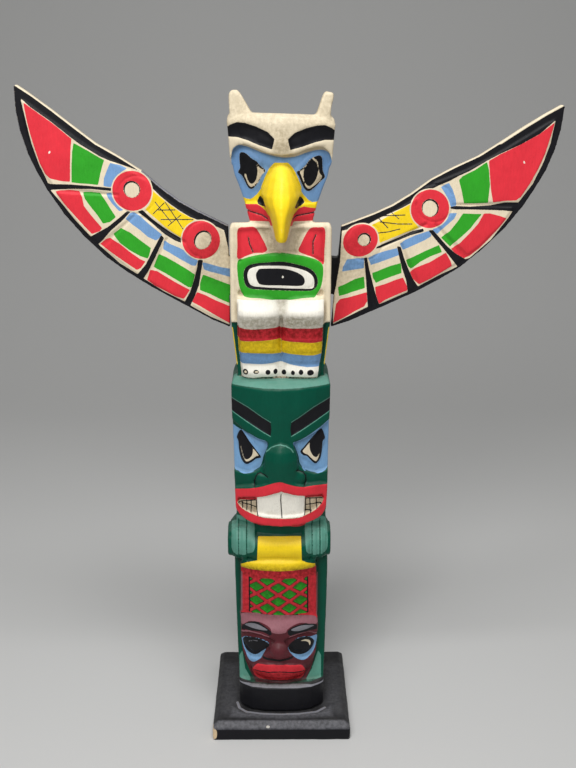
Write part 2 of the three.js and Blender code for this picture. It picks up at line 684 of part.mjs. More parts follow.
// The tenon is a tongue square to the upright root edge; grow widens it into its slot
function makeTenon(grow) {
  const outside = TENON_BURIED;
  const length = TENON_LENGTH + outside + grow;
  const geometry = new THREE.BoxGeometry(length, WING_BOARD + 2 * grow, TENON_HEIGHT + 2 * grow);
  const height = ROOT_LENGTH - TENON_DROP - TENON_HEIGHT / 2;
  geometry.translate(outside - length / 2, WING_FRONT + WING_BOARD / 2, height);
  geometry.rotateY(THREE.MathUtils.degToRad(WING_PITCH));
  geometry.translate(ROOT_FOOT[0], 0, ROOT_FOOT[1]);
  return solidOf(geometry);
}

// The base

function makeBase() {
  const halfX = BASE_WIDTH / 2;
  const halfY = BASE_DEPTH / 2;
  const geometry = new THREE.BoxGeometry(BASE_WIDTH, BASE_DEPTH, BASE_THICKNESS, 1, 1, 2);
  geometry.translate(0, 0, BASE_THICKNESS / 2);
  const places = geometry.getAttribute("position");
  for (let i = 0; i < places.count; i++) {
    const share = places.getZ(i) / BASE_THICKNESS;
    const inset = share > 0.9 ? BASE_CHAMFER : 0;
    const shoulder = share > 0.1 && share < 0.9;
    const height = shoulder ? BASE_THICKNESS - BASE_CHAMFER : share * BASE_THICKNESS;
    const x = Math.sign(places.getX(i)) * (halfX - inset);
    const y = Math.sign(places.getY(i)) * (halfY - inset);
    places.setXYZ(i, x, y, height);
  }
  return solidOf(geometry);
}

const carving = join([
  makeFoot(),
  makeSmallFace(),
  makeTail(),
  makeStick(),
  makePaw(-1),
  makePaw(1),
  makeBeaver(),
  makeBody(),
  makeHead(),
]);
const slots = [LEFT_WING, RIGHT_WING].map((wing) => placeWing(makeTenon(SLOT_CLEARANCE), wing));
const pole = cut(carving, slots);
const [leftWing, rightWing] = [LEFT_WING, RIGHT_WING].map((wing) =>
  placeWing(makeBoard().add(makeTenon(0)), wing),
);

const PAINT = {
  pole: { color: 0x0b5a44, roughness: 0.5, metalness: 0 },
  wing: { color: 0xc8323c, roughness: 0.5, metalness: 0 },
  base: { color: 0x17181a, roughness: 0.6, metalness: 0 },
};

function named(name, solid, paint) {
  const mesh = new THREE.Mesh(geometryOf(solid), new THREE.MeshStandardMaterial(paint));
  mesh.name = name;
  return mesh;
}

const totem = new THREE.Group();
totem.add(named("base", makeBase(), PAINT.base));
totem.add(named("pole", pole, PAINT.pole));
totem.add(named("left_wing", leftWing, PAINT.wing));
totem.add(named("right_wing", rightWing, PAINT.wing));

export default totem;
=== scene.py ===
"""A carved and painted model totem pole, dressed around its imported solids.

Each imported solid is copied, remeshed into an even fine grain and eased, gets the small cuts that
the solids leave out, and is painted with outlines laid over one another, as a painter lays them.
Outlines are in millimetres, meshes in metres.
"""

import math

import bmesh
import bpy
import numpy as np
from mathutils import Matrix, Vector, noise


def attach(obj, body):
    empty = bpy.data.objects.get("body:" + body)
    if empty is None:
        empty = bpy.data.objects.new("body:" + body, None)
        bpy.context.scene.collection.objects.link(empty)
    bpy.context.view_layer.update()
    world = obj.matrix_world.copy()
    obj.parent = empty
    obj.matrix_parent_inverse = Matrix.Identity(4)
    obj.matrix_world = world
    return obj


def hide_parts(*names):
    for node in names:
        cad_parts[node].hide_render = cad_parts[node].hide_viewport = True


bl_info = {
    "name": "Painted totem pole",
    "version": (1, 0, 0),
    "blender": (4, 5, 0),
    "location": "View3D > Sidebar > Totem",
    "description": "Dresses the packed solids of a model totem pole in carved and painted wood",
    "category": "Add Mesh",
}

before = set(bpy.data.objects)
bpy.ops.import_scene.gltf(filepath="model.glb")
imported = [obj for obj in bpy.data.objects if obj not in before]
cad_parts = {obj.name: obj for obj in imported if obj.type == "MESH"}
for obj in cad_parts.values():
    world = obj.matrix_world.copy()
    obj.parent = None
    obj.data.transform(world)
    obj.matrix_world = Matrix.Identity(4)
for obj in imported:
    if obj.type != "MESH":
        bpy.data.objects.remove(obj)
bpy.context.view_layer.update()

MM = 0.001
FAR = 60.0
REACH = 12.0
BODY = "root"


def screen(red, green, blue):
    """A colour of the screen, 0 to 255, as linear light"""
    return tuple(
        (c / 255 / 12.92) if c <= 10 else ((c / 255 + 0.055) / 1.055) ** 2.4 for c in (red, green, blue)
    )


def paint_of(name, says, red, green, blue):
    return bpy.props.FloatVectorProperty(
        name=name, description=says, size=3, subtype="COLOR", default=screen(red, green, blue), min=0, max=1
    )


def length_of(name, says, default):
    return bpy.props.FloatProperty(name=name, description=says, default=default, unit="LENGTH")


class TotemPaints(bpy.types.PropertyGroup):
    """The paints"""

    cream: paint_of("Cream", "Off-white of the hood, rails and wing panels", 228, 214, 186)
    white: paint_of("White", "Cleaner white of the knees, teeth and feet", 240, 236, 224)
    red: paint_of("Red", "Coral red of the lips, patches and feather tips", 222, 52, 64)
    yellow: paint_of("Yellow", "Yellow of the beak and the stick", 244, 210, 34)
    blue: paint_of("Blue", "Light blue of the bird's face", 116, 156, 202)
    sky: paint_of("Pale blue", "Paler blue of the lower eye sockets", 126, 170, 212)
    green: paint_of("Green", "Bright green of the belly panel and feathers", 50, 160, 40)
    pine: paint_of("Dark green", "Dark green of the lower figures", 0, 76, 58)
    # Pale green is mostly painted light: highlights on the lit edges of the brows, the nose and the beaver's
    # head, and sheen on the paws and the lower side strips; partly rubbed paint along edges
    lit_and_rubbed_green: paint_of("Pale green", "Thin, rubbed green along the edges and on the paws", 88, 144, 128)
    maroon: paint_of("Maroon", "Brown red of the small face", 96, 40, 48)
    # Mauve is painted light: the lit, up-facing forehead of the small face and the lit edges of the tail
    # frame
    lit_brown_red: paint_of("Mauve", "Thin brown red on the small face's forehead", 158, 104, 114)
    # Grey is also dust and painted light on the up-facing top of the black foot block
    grey: paint_of("Grey", "Rubbed black along edges", 128, 128, 136)
    black: paint_of("Black", "Black of the brows, borders and base", 24, 24, 28)
    wood: paint_of("Bare wood", "Wood that shows at chips", 222, 196, 158)


PAINTS = list(TotemPaints.__annotations__)
POLE_PAINTS = [name for name in PAINTS if name != "wood"]
WING_PAINTS = ["cream", "white", "red", "yellow", "blue", "green", "grey", "black"]
BASE_PAINTS = ["white", "grey", "black", "wood"]


class TotemSizes(bpy.types.PropertyGroup):
    """How finely the carving is remeshed, how uneven it is and where the camera stands"""

    pole_grain: length_of("Pole grain", "Voxel size of the pole's mesh", 1.08 * MM)
    wing_grain: length_of("Wing grain", "Voxel size of the wings' meshes", 0.8 * MM)
    base_grain: length_of("Base grain", "Voxel size of the base's mesh", 1.1 * MM)
    hand_wobble: length_of("Hand wobble", "Unevenness of the carved surfaces", 0.22 * MM)
    camera_height: length_of("Camera height", "Height of the lens over the floor", 0.512)
    camera_distance: length_of("Camera distance", "Distance in front of the pole", 0.755)
    camera_pitch: bpy.props.FloatProperty(
        name="Camera pitch",
        description="How far the lens looks down",
        default=math.radians(16.65),
        subtype="ANGLE",
    )


# Outlines


def rounded(points, steps=5):
    """A smooth closed outline through a few points"""
    knots = np.array(points, float)
    count = len(knots)
    out = []
    for i in range(count):
        a, b, c, d = (knots[(i + k) % count] for k in (-1, 0, 1, 2))
        for step in range(steps):
            t = step / steps
            bend = (2 * a - 5 * b + 4 * c - d) * t**2 + (3 * b - a - 3 * c + d) * t**3
            out.append(b + ((c - a) * t + bend) / 2)
    return np.array(out)


def area(paint, *points):
    return paint, "area", points, 0.0


def loop(paint, *points):
    return paint, "loop", points, 0.0


def line(paint, half, *points):
    return paint, "line", points, half


def dot(paint, place, size):
    return paint, "dot", place, size


def mirrored(points):
    return [(-x, n) for x, n in points][::-1]


def both_sides(paint, points):
    return [area(paint, *points), area(paint, *mirrored(points))]


def line_distance(points, closed, a, b):
    """Distance of each place from a line through points"""
    points = np.array(points, float)
    best = np.full(len(a), 1e9)
    for i in range(len(points) - (0 if closed else 1)):
        (x0, y0), (x1, y1) = points[i], points[(i + 1) % len(points)]
        dx, dy = x1 - x0, y1 - y0
        span = dx * dx + dy * dy
        if span < 1e-12:
            continue
        t = np.clip(((a - x0) * dx + (b - y0) * dy) / span, 0, 1)
        best = np.minimum(best, np.hypot(a - x0 - t * dx, b - y0 - t * dy))
    return best


def area_distance(points, a, b):
    """Signed distance from an outline, above zero inside it"""
    points = np.array(points, float)
    inside = np.zeros(len(a), bool)
    for i in range(len(points)):
        (x0, y0), (x1, y1) = points[i], points[(i + 1) % len(points)]
        if y0 == y1:
            continue
        crosses = ((y0 <= b) != (y1 <= b)) & (a < x0 + (b - y0) * (x1 - x0) / (y1 - y0))
        inside ^= crosses
    distance = line_distance(points, True, a, b)
    return np.where(inside, distance, -distance)


def mark_distance(kind, points, extra, a, b):
    """Signed distance from one mark: an area, a loop (an area with a smooth edge), a line or a dot"""
    if kind == "dot":
        (x, y), (rx, ry) = points, extra
        return (1 - np.hypot((a - x) / rx, (b - y) / ry)) * min(rx, ry)
    outline = rounded(points) if kind == "loop" else np.array(points, float)
    low, high = outline.min(0) - REACH, outline.max(0) + REACH
    near = (a > low[0]) & (a < high[0]) & (b > low[1]) & (b < high[1])
    out = np.full(len(a), -REACH)
    if kind == "line":
        out[near] = extra - line_distance(outline, False, a[near], b[near])
    else:
        out[near] = area_distance(outline, a[near], b[near])
    return out


class Coat:
    """Paint on a piece: for each paint the signed distance in mm from its edge, above zero in it"""

    def __init__(self, count, ground):
        self.fields = {name: np.full(count, -FAR) for name in PAINTS}
        self.fields[ground][:] = FAR

    def lay(self, paint, distance, room=FAR):
        """Lays one paint where there is room"""
        distance = np.minimum(distance, room)
        for name, field in self.fields.items():
            if name != paint:
                np.minimum(field, -distance, out=field)
        np.maximum(self.fields[paint], distance, out=self.fields[paint])

    def lay_marks(self, marks, a, b, room):
        """Lays marks in order; each is a paint, a kind, points and a size"""
        for paint, kind, points, size in marks:
            self.lay(paint, mark_distance(kind, points, size, a, b), room)

    def margin(self):
        """How far inside its paint each place lies, in mm"""
        return np.max(list(self.fields.values()), axis=0)

    def store(self, mesh, names):
        for name in names:
            keep(mesh, "paint_" + name, np.clip(self.fields[name], -20, 20))


def keep(mesh, name, values):
    attribute = mesh.attributes.new(name, "FLOAT", "POINT")
    attribute.data.foreach_set("value", np.asarray(values, np.float32))


def places_of(mesh):
    """Vertex places in mm, and vertex normals"""
    count = len(mesh.vertices)
    places, normals = np.zeros(count * 3), np.zeros(count * 3)
    mesh.vertices.foreach_get("co", places)
    mesh.vertices.foreach_get("normal", normals)
    return places.reshape(-1, 3) / MM, normals.reshape(-1, 3)


def put_places(mesh, places):
    mesh.vertices.foreach_set("co", (places * MM).ravel())
    mesh.update()


def bulge(mesh, rounds=8):
    """How far each vertex stands out of its surroundings, in mm; below zero in hollows"""
    places, normals = places_of(mesh)
    edges = np.zeros(len(mesh.edges) * 2, int)
    mesh.edges.foreach_get("vertices", edges)
    a, b = edges.reshape(-1, 2).T
    count = len(places)
    degree = np.maximum(np.bincount(a, None, count) + np.bincount(b, None, count), 1)
    eased = places.copy()
    for _ in range(rounds):
        sums = [np.bincount(a, axis[b], count) + np.bincount(b, axis[a], count) for axis in eased.T]
        eased = np.stack(sums, axis=1) / degree[:, None]
    return ((places - eased) * normals).sum(1)


# The fine copies of the solids


def settle(piece):
    """Applies a piece's modifiers"""
    graph = bpy.context.evaluated_depsgraph_get()
    applied = piece.evaluated_get(graph)
    fresh = bpy.data.meshes.new_from_object(applied, preserve_all_data_layers=True, depsgraph=graph)
    piece.modifiers.clear()
    piece.data = fresh
    return fresh


def smooth(mesh):
    for face in mesh.polygons:
        face.use_smooth = True


def fine_copy(node, name, grain, ease):
    """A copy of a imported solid, remeshed evenly, with its edges eased"""
    work = bmesh.new()
    work.from_mesh(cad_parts[node].data)
    bmesh.ops.remove_doubles(work, verts=work.verts, dist=1e-6)
    mesh = bpy.data.meshes.new(name)
    work.to_mesh(mesh)
    work.free()
    piece = bpy.data.objects.new(name, mesh)
    bpy.context.scene.collection.objects.link(piece)
    remesh = piece.modifiers.new("grain", "REMESH")
    remesh.mode = "VOXEL"
    remesh.voxel_size = grain
    settle(piece)
    work = bmesh.new()
    work.from_mesh(piece.data)
    every_way = {"use_axis_x": True, "use_axis_y": True, "use_axis_z": True}
    for _ in range(ease):
        bmesh.ops.smooth_vert(work, verts=work.verts, factor=0.5, **every_way)
    work.to_mesh(piece.data)
    work.free()
    smooth(piece.data)
    return piece


def thin_out(piece, plain, most):
    """Takes faces away where a piece is plain, until it has at most so many triangles"""
    group = piece.vertex_groups.new(name="plain")
    group.add([int(i) for i in np.flatnonzero(plain)], 1.0, "REPLACE")
    triangles = sum(len(face.vertices) - 2 for face in piece.data.polygons)
    if triangles > most:
        fewer = piece.modifiers.new("fewer", "DECIMATE")
        fewer.ratio = most / triangles
        fewer.vertex_group = group.name
        fewer.vertex_group_factor = 10
        settle(piece)
    piece.vertex_groups.clear()


def refine(mesh, near):
    """Divides the faces near fine lines, so that the lines stay whole"""
    work = bmesh.new()
    work.from_mesh(mesh)
    work.verts.ensure_lookup_table()
    edges = [edge for edge in work.edges if all(near[vert.index] for vert in edge.verts)]
    bmesh.ops.subdivide_edges(work, edges=edges, cuts=1, use_grid_fill=True)
    work.to_mesh(mesh)
    work.free()
    smooth(mesh)


def hand_cut(mesh, wobble):
    """Gives a surface the slight unevenness of knife work"""
    places, normals = places_of(mesh)
    shift = np.zeros(len(places))
    for i, place in enumerate(places):
        spot = Vector(place)
        shift[i] = noise.noise(spot * 0.07) + 0.45 * noise.noise(spot * 0.19 + Vector((7, 3, 1)))
    put_places(mesh, places + normals * (shift * wobble / MM)[:, None])


def score(mesh, a, b, depth_axis, cuts):
    """Presses grooves into a front: each cut is a line, its half width, its depth and its reach"""
    places, normals = places_of(mesh)
    sink = np.zeros(len(places))
    for points, half, depth, deep in cuts:
        distance = -mark_distance("line", points, 0.0, a, b)
        share = np.clip(1 - distance / (2 * half), 0, 1)
        share = share * share * (3 - 2 * share)
        sink = np.maximum(sink, np.where(depth_axis < deep, share * depth, 0))
    put_places(mesh, places - normals * sink[:, None])


def finish_piece(piece, node, material):
    piece.data.materials.clear()
    piece.data.materials.append(material)
    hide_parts(node)
    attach(piece, BODY)


# Shader node helpers


class Value:
    """A shader value that can be calculated with"""

    def __init__(self, tree, socket):
        self.tree, self.socket = tree, socket

    def math(self, operation, other, clamp=False):
        return made(self.tree, "ShaderNodeMath", 0, {0: self, 1: other}, operation=operation, use_clamp=clamp)

    def __add__(self, other):
        return self.math("ADD", other)

    def __sub__(self, other):
        return self.math("SUBTRACT", other)

    def __mul__(self, other):
        return self.math("MULTIPLY", other)


def feed(tree, node, inputs):
    """Links or sets a node's inputs; a colour gets its fourth channel"""
    for key, value in inputs.items():
        socket = node.inputs[key]
        if isinstance(value, Value):
            tree.links.new(value.socket, socket)
        elif socket.type == "RGBA":
            socket.default_value = (*value[:3], 1)
        else:
            socket.default_value = value


def made(tree, kind, output=0, inputs=None, **settings):
    """A new node's output"""
    node = tree.nodes.new(kind)
    for key, value in settings.items():
        setattr(node, key, value)
    feed(tree, node, inputs or {})
    return Value(tree, node.outputs[output])


def group(name, ins, outs):
    """A new node group, its inputs as values, and its output node"""
    tree = bpy.data.node_groups.new(name, "ShaderNodeTree")
    kinds = {"f": "NodeSocketFloat", "c": "NodeSocketColor", "v": "NodeSocketVector"}
    for side, sockets in (("INPUT", ins), ("OUTPUT", outs)):
        for label, kind in sockets.items():
            tree.interface.new_socket(label, in_out=side, socket_type=kinds[kind])
    entry, outs = tree.nodes.new("NodeGroupInput"), tree.nodes.new("NodeGroupOutput")
    return tree, {label: Value(tree, entry.outputs[label]) for label in ins}, outs


def mix(tree, share, a, b, blend="MIX"):
    return made(tree, "ShaderNodeMix", 2, {0: share, 6: a, 7: b}, data_type="RGBA", blend_type=blend)


def ramp(tree, value, low, high, to_low=0.0, to_high=1.0):
    ends = {"Value": value, "From Min": low, "From Max": high, "To Min": to_low, "To Max": to_high}
    return made(tree, "ShaderNodeMapRange", "Result", ends, interpolation_type="SMOOTHSTEP")


def noise_node(tree, place, scale, detail=3.0, roughness=0.5):
    grain = {"Vector": place, "Scale": scale, "Detail": detail, "Roughness": roughness}
    return made(tree, "ShaderNodeTexNoise", "Fac", grain)


def attribute(tree, name):
    return made(tree, "ShaderNodeAttribute", "Fac", attribute_name=name)


def paint_layer_group():
    """One paint over what lies under it, with a crisp, slightly ragged edge"""
    ins = {"Under": "c", "Paint": "c", "Distance": "f", "Wobble": "f"}
    tree, ins, outs = group("paint_layer", ins, {"Color": "c", "Mask": "f"})
    mask = ramp(tree, ins["Distance"] + ins["Wobble"], -0.12, 0.12)
    feed(tree, outs, {"Color": mix(tree, mask, ins["Under"], ins["Paint"]), "Mask": mask})
    return tree


def brush_group():
    """Brush strokes and thin spots: a shade to multiply with, and a height"""
    tree, ins, outs = group("brushwork", {"Place": "v", "Strength": "f"}, {"Shade": "f", "Height": "f"})
    streak = made(tree, "ShaderNodeMapping", 0, {"Vector": ins["Place"], "Scale": (0.5, 0.5, 0.09)})
    bands = noise_node(tree, streak, 2.2, 4.0, 0.6)
    cloud = noise_node(tree, ins["Place"], 0.07, 3.0, 0.55)
    shade = (bands * 0.5 + cloud * 0.5 - 0.5) * ins["Strength"] + 1.0
    feed(tree, outs, {"Shade": shade, "Height": bands})
    return tree


def wear_group():
    """Paint rubbed off along ridges: a mask"""
    tree, ins, outs = group("rubbed_edges", {"Place": "v", "Bulge": "f", "Amount": "f"}, {"Mask": "f"})
    patchy = noise_node(tree, ins["Place"], 0.35, 5.0, 0.65)
    edge = ins["Bulge"] * ins["Amount"] + (patchy - 0.76) * 1.1
    feed(tree, outs, {"Mask": ramp(tree, edge, 0.02, 0.12)})
    return tree


def grime_and_shade_group():
    """Dirt and painted shade in hollows, and dirt in small specks: a mask"""
    ins = {"Place": "v", "Bulge": "f", "Hollows": "f", "Specks": "f"}
    tree, ins, outs = group("grime_and_shade", ins, {"Mask": "f"})
    # Painted shade: hollows are darkened as well as dirtied
    hollow = ramp(tree, ins["Bulge"] * -1.0, 0.02, 0.5) * ins["Hollows"]
    fine = noise_node(tree, ins["Place"], 0.9, 6.0, 0.7)
    broad = noise_node(tree, ins["Place"], 0.09, 3.0, 0.6)
    spots = ramp(tree, fine, 0.5, 0.72) * ramp(tree, broad, 0.35, 0.7) * ins["Specks"]
    feed(tree, outs, {"Mask": hollow.math("ADD", spots, True)})
    return tree


def dust_group():
    """Pale dust on what faces up: a mask"""
    tree, ins, outs = group("dust", {"Place": "v", "Amount": "f"}, {"Mask": "f"})
    facing = made(tree, "ShaderNodeSeparateXYZ", "Z", {0: made(tree, "ShaderNodeNewGeometry", "Normal")})
    cloud = ramp(tree, noise_node(tree, ins["Place"], 0.16, 5.0, 0.6), 0.3, 0.75, 0.35, 1.0)
    dusty = (ramp(tree, facing, 0.25, 0.95) * cloud).math("MULTIPLY", ins["Amount"], True)
    feed(tree, outs, {"Mask": dusty})
    return tree


def library():
    """The shared node groups, built once"""
    groups = bpy.data.node_groups
    if "paint_layer" not in groups:
        for maker in (paint_layer_group, brush_group, wear_group, grime_and_shade_group, dust_group):
            maker()
    return groups


def use(tree, name, inputs):
    """The outputs of a shared group placed in a material"""
    node = tree.nodes.new("ShaderNodeGroup")
    node.node_tree = library()[name]
    feed(tree, node, inputs)
    return [Value(tree, output) for output in node.outputs]


def plain_material(name, colour, rough):
    material = bpy.data.materials.new(name)
    material.use_nodes = True
    shader = material.node_tree.nodes["Principled BSDF"]
    feed(material.node_tree, shader, {"Base Color": colour, "Roughness": rough})
    return material


def painted_material(name, paints, layers, look):
    """Painted wood: an undercoat, the paints over it, then strokes, stains and painted shade, rubbed edges,
    grime with painted shade in hollows, and dust
    """
    under = getattr(paints, look["under"])
    material = plain_material(name, under, look["gloss"])
    tree = material.node_tree
    place = made(tree, "ShaderNodeTexCoord", "Object")
    place = made(tree, "ShaderNodeVectorMath", 0, {0: place, 1: (1 / MM,) * 3}, operation="MULTIPLY")
    swell = attribute(tree, "bulge")
    ragged = (noise_node(tree, place, 0.8, 3.0, 0.6) - 0.5) * look["ragged"]
    bare = mix(tree, noise_node(tree, place, 0.5, 4.0, 0.6), under, tuple(c * 0.72 for c in under))
    colour, height = mix(tree, attribute(tree, "deep"), bare, DEEP_UNDERCOAT), None
    for layer in layers:
        coat = {"Under": colour, "Paint": getattr(paints, layer), "Wobble": ragged}
        colour, mask = use(tree, "paint_layer", {**coat, "Distance": attribute(tree, "paint_" + layer)})
        height = mask if height is None else height.math("MAXIMUM", mask)
    shade, strokes = use(tree, "brushwork", {"Place": place, "Strength": look["strokes"]})
    shade = made(tree, "ShaderNodeCombineColor", 0, {0: shade, 1: shade, 2: shade})
    colour = mix(tree, 1.0, colour, shade, "MULTIPLY")
    blotch = ramp(tree, noise_node(tree, place, 0.4, 5.0, 0.62), 0.3, 0.68) * 0.6 + 0.4
    # Stains and painted shade, blended in with the stain colour where the stain attribute says
    colour = mix(tree, attribute(tree, "stain_and_shade") * blotch, colour, look["stain_and_shade"], look["stain_and_shade_blend"])
    (rubbed,) = use(tree, "rubbed_edges", {"Place": place, "Bulge": swell, "Amount": look["rubbed"]})
    colour = mix(tree, rubbed, colour, bare)
    grime_and_shade_inputs = {"Place": place, "Bulge": swell, "Hollows": look["hollows"], "Specks": look["specks"]}
    # Dirt specks, and dirt with painted shade in the hollows
    (dirt_and_shade,) = use(tree, "grime_and_shade", grime_and_shade_inputs)
    colour = mix(tree, dirt_and_shade, colour, look["dirt_and_shade"], "MULTIPLY")
    (dust,) = use(tree, "dust", {"Place": place, "Amount": look["dust"]})
    colour = mix(tree, dust, colour, look["dust_colour"])
    gloss = look["gloss"]
    rough = ramp(tree, noise_node(tree, place, 0.25, 4.0, 0.6), 0.3, 0.7, gloss - 0.06, gloss + 0.08)
    rough = (rough + rubbed * 0.15).math("ADD", dust * 0.3, True)
    relief = height * 0.5 + strokes - rubbed * 0.6 + noise_node(tree, place, 1.6) * 0.4
    bump = made(tree, "ShaderNodeBump", 0, {"Height": relief, "Strength": 0.5, "Distance": 0.15 * MM})
    surface = {"Base Color": colour, "Roughness": rough, "Normal": bump, "Specular IOR Level": look["shine"]}
    feed(tree, tree.nodes["Principled BSDF"], surface)
    return material


DEEP_UNDERCOAT = screen(26, 34, 30)
LOOK = {
    "under": "cream",
    "ragged": 0.5,
    "strokes": 0.55,
    "rubbed": 0.2,
    "hollows": 0.3,
    "specks": 0.3,
    # The colour that stains and painted shade multiply the paint with
    "stain_and_shade": screen(150, 142, 120),
    "stain_and_shade_blend": "MULTIPLY",
    "dirt_and_shade": screen(150, 134, 108),
    "dust": 0.08,
    "dust_colour": screen(206, 204, 198),
    "gloss": 0.42,
    "shine": 0.15,
}

# The pole. Places are x and n in mm, where n is the height over the pole's foot

POLE_FOOT = 15.3
POLE_TURN = 20.0
FRONT = -10.0

GROUNDS = [
    ("pine", 24.2, 326.0),
    ("cream", 326.0, 402.0),
    ("red", 402.0, 414.0),
    ("yellow", 414.0, 421.0),
    ("blue", 421.0, 442.0),
    ("cream", 442.0, 520.0),
]


# The bird's head leans a little, so its brows are placed on the leaning head
HEAD_LOW = 403.0
HEAD_RISE = 60.0
HEAD_LEAN = 0.034
HEAD_SHIFT = 0.6
BIRD_BROW = [
    (4.6, 460.4), (9.4, 465), (17.6, 468.4), (25, 470.4), (31, 470.8), (35.4, 469), (38.6, 467),
    (38.6, 460.6), (30.8, 460.6), (23.6, 458.8), (15.4, 455.8), (6.4, 453.2),
]
BEAK_EDGE = [
    (390.6, -52.5, 3.2), (392.6, -50, 4.3), (397, -47, 5.3), (403, -43.5, 6.8), (409, -38, 9.2),
    (414.5, -34, 12.8), (421, -30.6, 14.8), (427, -30, 13.4), (434, -30, 10.6), (440, -30, 7.6),
    (443.8, -29, 4),
]
BIRD_FACE = [
    loop("blue", (-35.1, 445.5), (-33.8, 452.6), (-31.2, 455.5), (-27.9, 455.9), (-21.5, 454.3),
        (-12.9, 451), (-3.8, 448.6), (2.6, 447.6), (10.4, 448.2), (17.5, 450.5), (24.6, 452.3),
        (30.4, 452.5), (34, 450.9), (36, 447.7), (37.1, 441), (35.8, 432.5), (32.3, 422.5), (30.2, 412.3),
        (14.1, 413.2), (-13.3, 413.3), (-27.9, 412.6), (-30.7, 422.5), (-34.1, 434.6)),
    area("yellow", (-32.2, 418.9), (-28.6, 419.6), (-24.9, 418.1), (-22, 417.7), (-19.8, 418.9),
        (-16.8, 421.6), (-13.2, 426.7), (-10.2, 433.2), (-8.1, 437.4), (-5.9, 439.7), (-3.1, 441.2),
        (0.5, 442), (4.7, 440.5), (7.5, 438.3), (10.4, 433.4), (13.3, 427), (16.2, 421.6), (19.9, 417.5),
        (22.9, 415.5), (26.6, 415.6), (30.9, 418.5), (34.5, 419.6), (33.1, 406.8), (-29.4, 406.9)),
]
BIRD_LIPS = [
    area("red", (-30.7, 414.1), (-26.4, 414.1), (-22, 414.3), (-16.9, 414.6), (-13.3, 412.5),
        (-10.4, 409.8), (-8.2, 405.9), (-6, 402.4), (-4.6, 398), (-2.5, 393.3), (-1.8, 385.8), (4, 385.8),
        (3.5, 392.6), (4.6, 395.7), (6, 400.8), (7.4, 406.1), (10.5, 408.6), (13.4, 411.8), (17, 412.8),
        (21.4, 411.8), (27.3, 410.8), (31.6, 410.8), (30.2, 399.7), (-29.6, 400.6)),
]
BIRD_EYES = [
    loop("black", (-28.7, 450.3), (-25.7, 450.8), (-22.9, 449.1), (-20.1, 446.4), (-17.2, 445.1),
        (-14.4, 442), (-10.5, 438.5), (-13.1, 435.4), (-15.2, 431.1), (-18.2, 427), (-20.8, 425.1),
        (-23.3, 426.4), (-25.4, 430.6), (-27.5, 434.6), (-30.4, 436.9), (-28.8, 439.9), (-29.1, 445.4)),
    loop("cream", (-17.3, 442.3), (-14.4, 440.2), (-11.6, 438.2), (-13.8, 435), (-16, 431), (-18.9, 427.7),
        (-21.1, 426.6), (-23.2, 428.7), (-24.6, 432.2), (-25.6, 435.7), (-21.6, 440.1)),
    loop("black", (-28, 447.6), (-24.4, 448.1), (-20.8, 447.1), (-18, 444.7), (-16.6, 440.9),
        (-16.3, 436.7), (-17.4, 432.1), (-19.6, 429.2), (-21.7, 429.4), (-23.5, 432.2), (-24.9, 437.2),
        (-26.6, 442.8)),
    loop("black", (27.8, 448.7), (29.7, 446.9), (30.1, 441.3), (30.5, 437.7), (32.1, 433.3), (29.9, 431.2),
        (27.1, 428.4), (23.5, 425.3), (20.6, 423.6), (17.7, 424.8), (15.5, 428.8), (13.3, 434),
        (11.5, 437.5), (13.9, 438.9), (17.5, 441.6), (20.3, 445.4), (23.9, 447.7)),
    loop("cream", (23.2, 446.5), (26.1, 445.2), (27.2, 441.3), (28, 436.4), (29.9, 433.7), (27.4, 429.9),
        (23.4, 426.9), (20.5, 425.3), (18, 427.3), (16.1, 431.8), (14.7, 435.3), (13.9, 437.5),
        (16.8, 439.8), (19.6, 443.6)),
    loop("black", (23.2, 445.6), (25.7, 443.5), (26.9, 439.2), (26.5, 435), (24.8, 430.8), (21.9, 427.7),
        (19.4, 427.7), (17.2, 431), (16.5, 435.3), (16.8, 438.8), (18.9, 442.2), (21, 445)),
    area("black", (-14.7, 420.6), (-12.8, 419), (-11.6, 416.2), (-10, 413.1), (-13.3, 413.3),
        (-16.3, 414.8), (-16.7, 416.8)),
    area("black", (13.9, 420.7), (16.6, 417.6), (17.4, 415.7), (14.8, 413.6), (11.8, 412.4), (10.1, 413.6),
        (11.7, 417.5)),
]
BIRD_MOUTH = [
    [(-29.9, 411), (-22.1, 408.8), (-13.4, 406.5), (-10, 404)],
    [(30.7, 408.8), (21.5, 407.5), (12, 406.2), (9.6, 404.4)],
]

